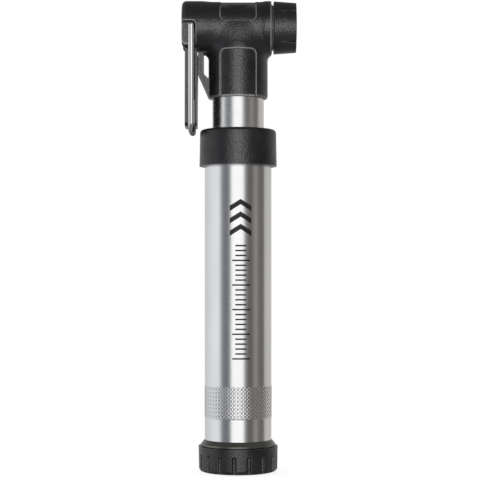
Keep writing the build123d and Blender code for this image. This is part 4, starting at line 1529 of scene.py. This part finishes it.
# ---------------------------------------------------------------- studio
@dataclass
class Studio:
    """Pale floor, a light tent with two grey flags, front lights and the camera."""

    camera_distance: float = 524.0
    camera_height: float = 70.9
    camera_offset: float = 0.14
    picture_width: float = 172.3
    picture_centre: float = 83.8
    floor_rings: tuple[float, ...] = (900.0, 450.0, 90.0)
    floor_count: int = 96
    floor_drop: float = 0.05
    light_reach: float = 1.2
    light_height: float = 0.1
    front_bearings: tuple[float, float] = (-24.0, 20.0)
    front_spread: float = 26.0
    front_radiance: float = 0.7
    key_radiance: float = 15.0
    key_spread: float = 12.0
    key_rise: float = 1.0
    above_and_below: float = 0.18
    wall_top: tuple[float, float] = (0.3, 0.55)
    sensor: float = 36.0

    def camera(self) -> bpy.types.Object:
        """Aim a level camera at the pump, shifted up to frame it.

        Returns:
            The camera.
        """
        lens = bpy.data.cameras.new("camera")
        lens.sensor_width = self.sensor
        lens.lens = self.sensor * self.camera_distance / self.picture_width
        lens.shift_y = (self.picture_centre - self.camera_height) / self.picture_width
        lens.clip_start = 0.01
        lens.clip_end = 20.0
        camera = bpy.data.objects.new("camera", lens)
        camera.location = (
            self.camera_offset * MM,
            -self.camera_distance * MM,
            self.camera_height * MM,
        )
        camera.rotation_euler = (math.radians(90), 0.0, 0.0)
        bpy.context.scene.collection.objects.link(camera)
        bpy.context.scene.camera = camera
        return camera

    def floor(self, finish: bpy.types.Material) -> bpy.types.Object:
        """Lay the round pale floor.

        Args:
            finish: the floor's material.

        Returns:
            The floor.
        """
        count, height = self.floor_count, -self.floor_drop
        turns = 2 * math.pi * np.arange(count) / count
        points = [(0.0, 0.0, height)]
        for radius in self.floor_rings:
            points += [(radius * math.cos(t), radius * math.sin(t), height) for t in turns]
        faces: list[tuple[int, ...]] = []
        inner = 1 + (len(self.floor_rings) - 1) * count
        for outer in range(1, inner, count):
            for i in range(count):
                after = (i + 1) % count
                faces.append((outer + i, outer + after, outer + count + after, outer + count + i))
        faces += [(0, inner + i, inner + (i + 1) % count) for i in range(count)]
        floor = new_piece("floor", np.array(points), faces, finish)
        floor.visible_glossy = False
        return floor

    def tent(self) -> None:
        """Light tent all round, with a darker flag at each side of the camera."""
        world = bpy.data.worlds.new("light_tent")
        bpy.context.scene.world = world
        world.use_nodes = True
        tree = world.node_tree
        tree.nodes.clear()
        output = tree.nodes.new("ShaderNodeOutputWorld")
        direction = tree.nodes.new("ShaderNodeTexCoord").outputs["Generated"]
        parts = tree.nodes.new("ShaderNodeSeparateXYZ")
        tree.links.new(direction, parts.inputs[0])
        toward = tree.nodes.new("ShaderNodeMath")
        toward.operation = "MULTIPLY"
        toward.inputs[1].default_value = -1.0
        tree.links.new(parts.outputs["Y"], toward.inputs[0])
        bearing = tree.nodes.new("ShaderNodeMath")
        bearing.operation = "ARCTAN2"
        tree.links.new(parts.outputs["X"], bearing.inputs[0])
        tree.links.new(toward.outputs[0], bearing.inputs[1])
        share = tree.nodes.new("ShaderNodeMapRange")
        share.inputs["From Min"].default_value = -math.pi
        share.inputs["From Max"].default_value = math.pi
        tree.links.new(bearing.outputs[0], share.inputs["Value"])
        walls = tree.nodes.new("ShaderNodeValToRGB")
        self.paint_walls(walls.color_ramp)
        tree.links.new(share.outputs["Result"], walls.inputs["Fac"])
        steepness = tree.nodes.new("ShaderNodeMath")
        steepness.operation = "ABSOLUTE"
        tree.links.new(parts.outputs["Z"], steepness.inputs[0])
        lift = tree.nodes.new("ShaderNodeMapRange")
        lift.inputs["From Min"].default_value = self.wall_top[0]
        lift.inputs["From Max"].default_value = self.wall_top[1]
        tree.links.new(steepness.outputs[0], lift.inputs["Value"])
        sky = tree.nodes.new("ShaderNodeMix")
        sky.data_type = "RGBA"
        sky.inputs[MIX_SECOND].default_value = (*[self.above_and_below] * 3, 1.0)
        tree.links.new(lift.outputs["Result"], sky.inputs[MIX_SHARE])
        tree.links.new(walls.outputs["Color"], sky.inputs[MIX_FIRST])
        tent = tree.nodes.new("ShaderNodeBackground")
        tree.links.new(sky.outputs[MIX_RESULT], tent.inputs["Color"])
        paper = tree.nodes.new("ShaderNodeBackground")
        paper.inputs["Color"].default_value = (1.0, 1.0, 1.0, 1.0)
        seen = tree.nodes.new("ShaderNodeLightPath").outputs["Is Camera Ray"]
        choice = tree.nodes.new("ShaderNodeMixShader")
        tree.links.new(seen, choice.inputs[0])
        tree.links.new(tent.outputs[0], choice.inputs[1])
        tree.links.new(paper.outputs[0], choice.inputs[2])
        tree.links.new(choice.outputs[0], output.inputs["Surface"])

    def paint_walls(self, bar: bpy.types.ColorRamp) -> None:
        """Set the tent's brightness by bearing, in degrees from the camera towards +X.

        Args:
            bar: the colour ramp, which runs once round the tent.
        """
        stops: list[tuple[float, Colour]] = [
            (-180.0, (0.55, 0.55, 0.56)),
            (-130.0, (0.64, 0.65, 0.67)),
            (-95.0, (0.77, 0.78, 0.8)),
            (-70.0, (0.82, 0.83, 0.85)),
            (-56.0, (0.2, 0.21, 0.23)),
            (-36.0, (0.13, 0.135, 0.15)),
            (-24.0, (0.4, 0.4, 0.4)),
            (20.0, (0.4, 0.4, 0.4)),
            (33.0, (0.13, 0.12, 0.115)),
            (45.0, (0.1, 0.09, 0.085)),
            (64.0, (0.3, 0.285, 0.27)),
            (76.0, (0.15, 0.14, 0.13)),
            (98.0, (0.12, 0.11, 0.105)),
            (106.0, (0.5, 0.485, 0.47)),
            (180.0, (0.56, 0.555, 0.55)),
        ]
        bar.interpolation = "LINEAR"
        while len(bar.elements) < len(stops):
            bar.elements.new(0.5)
        for element, (bearing, colour) in zip(bar.elements, stops):
            element.position = (bearing + 180.0) / 360.0
            element.color = (*colour, 1.0)

    def area_light(
        self,
        name: str,
        bearings: tuple[float, float],
        rises: tuple[float, float],
        radiance: float,
    ) -> bpy.types.Object:
        """Hang a flat light behind the camera that fills a range of directions.

        Args:
            name: the light's name.
            bearings: directions of its left and right edges, in degrees.
            rises: directions of its lower and upper edges.
            radiance: its brightness.

        Returns:
            The light.
        """
        reach = self.light_reach
        left, right = (reach * math.tan(math.radians(angle)) for angle in bearings)
        low, high = (reach * math.tan(math.radians(angle)) for angle in rises)
        lamp = bpy.data.lights.new(name, "AREA")
        lamp.shape = "RECTANGLE"
        lamp.size, lamp.size_y = right - left, high - low
        lamp.energy = radiance * math.pi * lamp.size * lamp.size_y
        box = bpy.data.objects.new(name, lamp)
        box.location = ((left + right) / 2, -reach, self.light_height + (low + high) / 2)
        box.rotation_euler = (math.radians(90), 0.0, 0.0)
        box.visible_camera = False
        bpy.context.scene.collection.objects.link(box)
        return box

    def key_light(self, receivers: list[bpy.types.Object]) -> None:
        """Add a stronger front light that only the black plastic pieces receive.

        Args:
            receivers: the pieces that it lights.
        """
        spread = self.key_spread
        rises = (self.key_rise - spread, self.key_rise + spread)
        key = self.area_light("key", (-spread, spread), rises, self.key_radiance)
        plastics = bpy.data.collections.new("plastics")
        for piece in receivers:
            plastics.objects.link(piece)
        key.light_linking.receiver_collection = plastics

    def build(self, floor_finish: bpy.types.Material) -> None:
        """Set up the floor, the lights and the camera.

        Args:
            floor_finish: the floor's material.
        """
        bpy.context.scene.view_settings.view_transform = "Standard"
        bpy.context.scene.view_settings.look = "None"
        self.floor(floor_finish)
        self.tent()
        rises = (-self.front_spread, self.front_spread)
        self.area_light("front_box", self.front_bearings, rises, self.front_radiance)
        self.camera()


def main() -> None:
    """Load the frame, build each sub-assembly and report it."""
    logging.basicConfig(level=logging.INFO, format="%(name)s: %(message)s")
    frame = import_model()
    studio = Studio()
    studio.build(SWEEP.material())
    barrel = Barrel(ALUMINIUM.material(), INK.material()).build()
    head = Head(HEAD_NYLON.material()).build()
    for piece in (*barrel, head):
        log.info("%s: %d faces", piece.name, len(piece.data.polygons))
    fittings = Fittings(
        frame,
        {
            "nylon": NYLON.material(),
            "tube": TUBE_ALUMINIUM.material(),
            "anodised": ANODISED.material(),
            "wire": WIRE.material(),
            "acetal": ACETAL.material(),
            "chuck_acetal": CHUCK_ACETAL.material(),
            "rubber": RUBBER.material(),
            "gasket": GASKET_RUBBER.material(),
            "zinc": ZINC.material(),
            "brass": BRASS.material(),
        },
    )
    fittings.build()
    studio.key_light([head, *(frame["nodes"][node] for node in fittings.plan()["nylon"])])


if __name__ == "__main__":
    main()
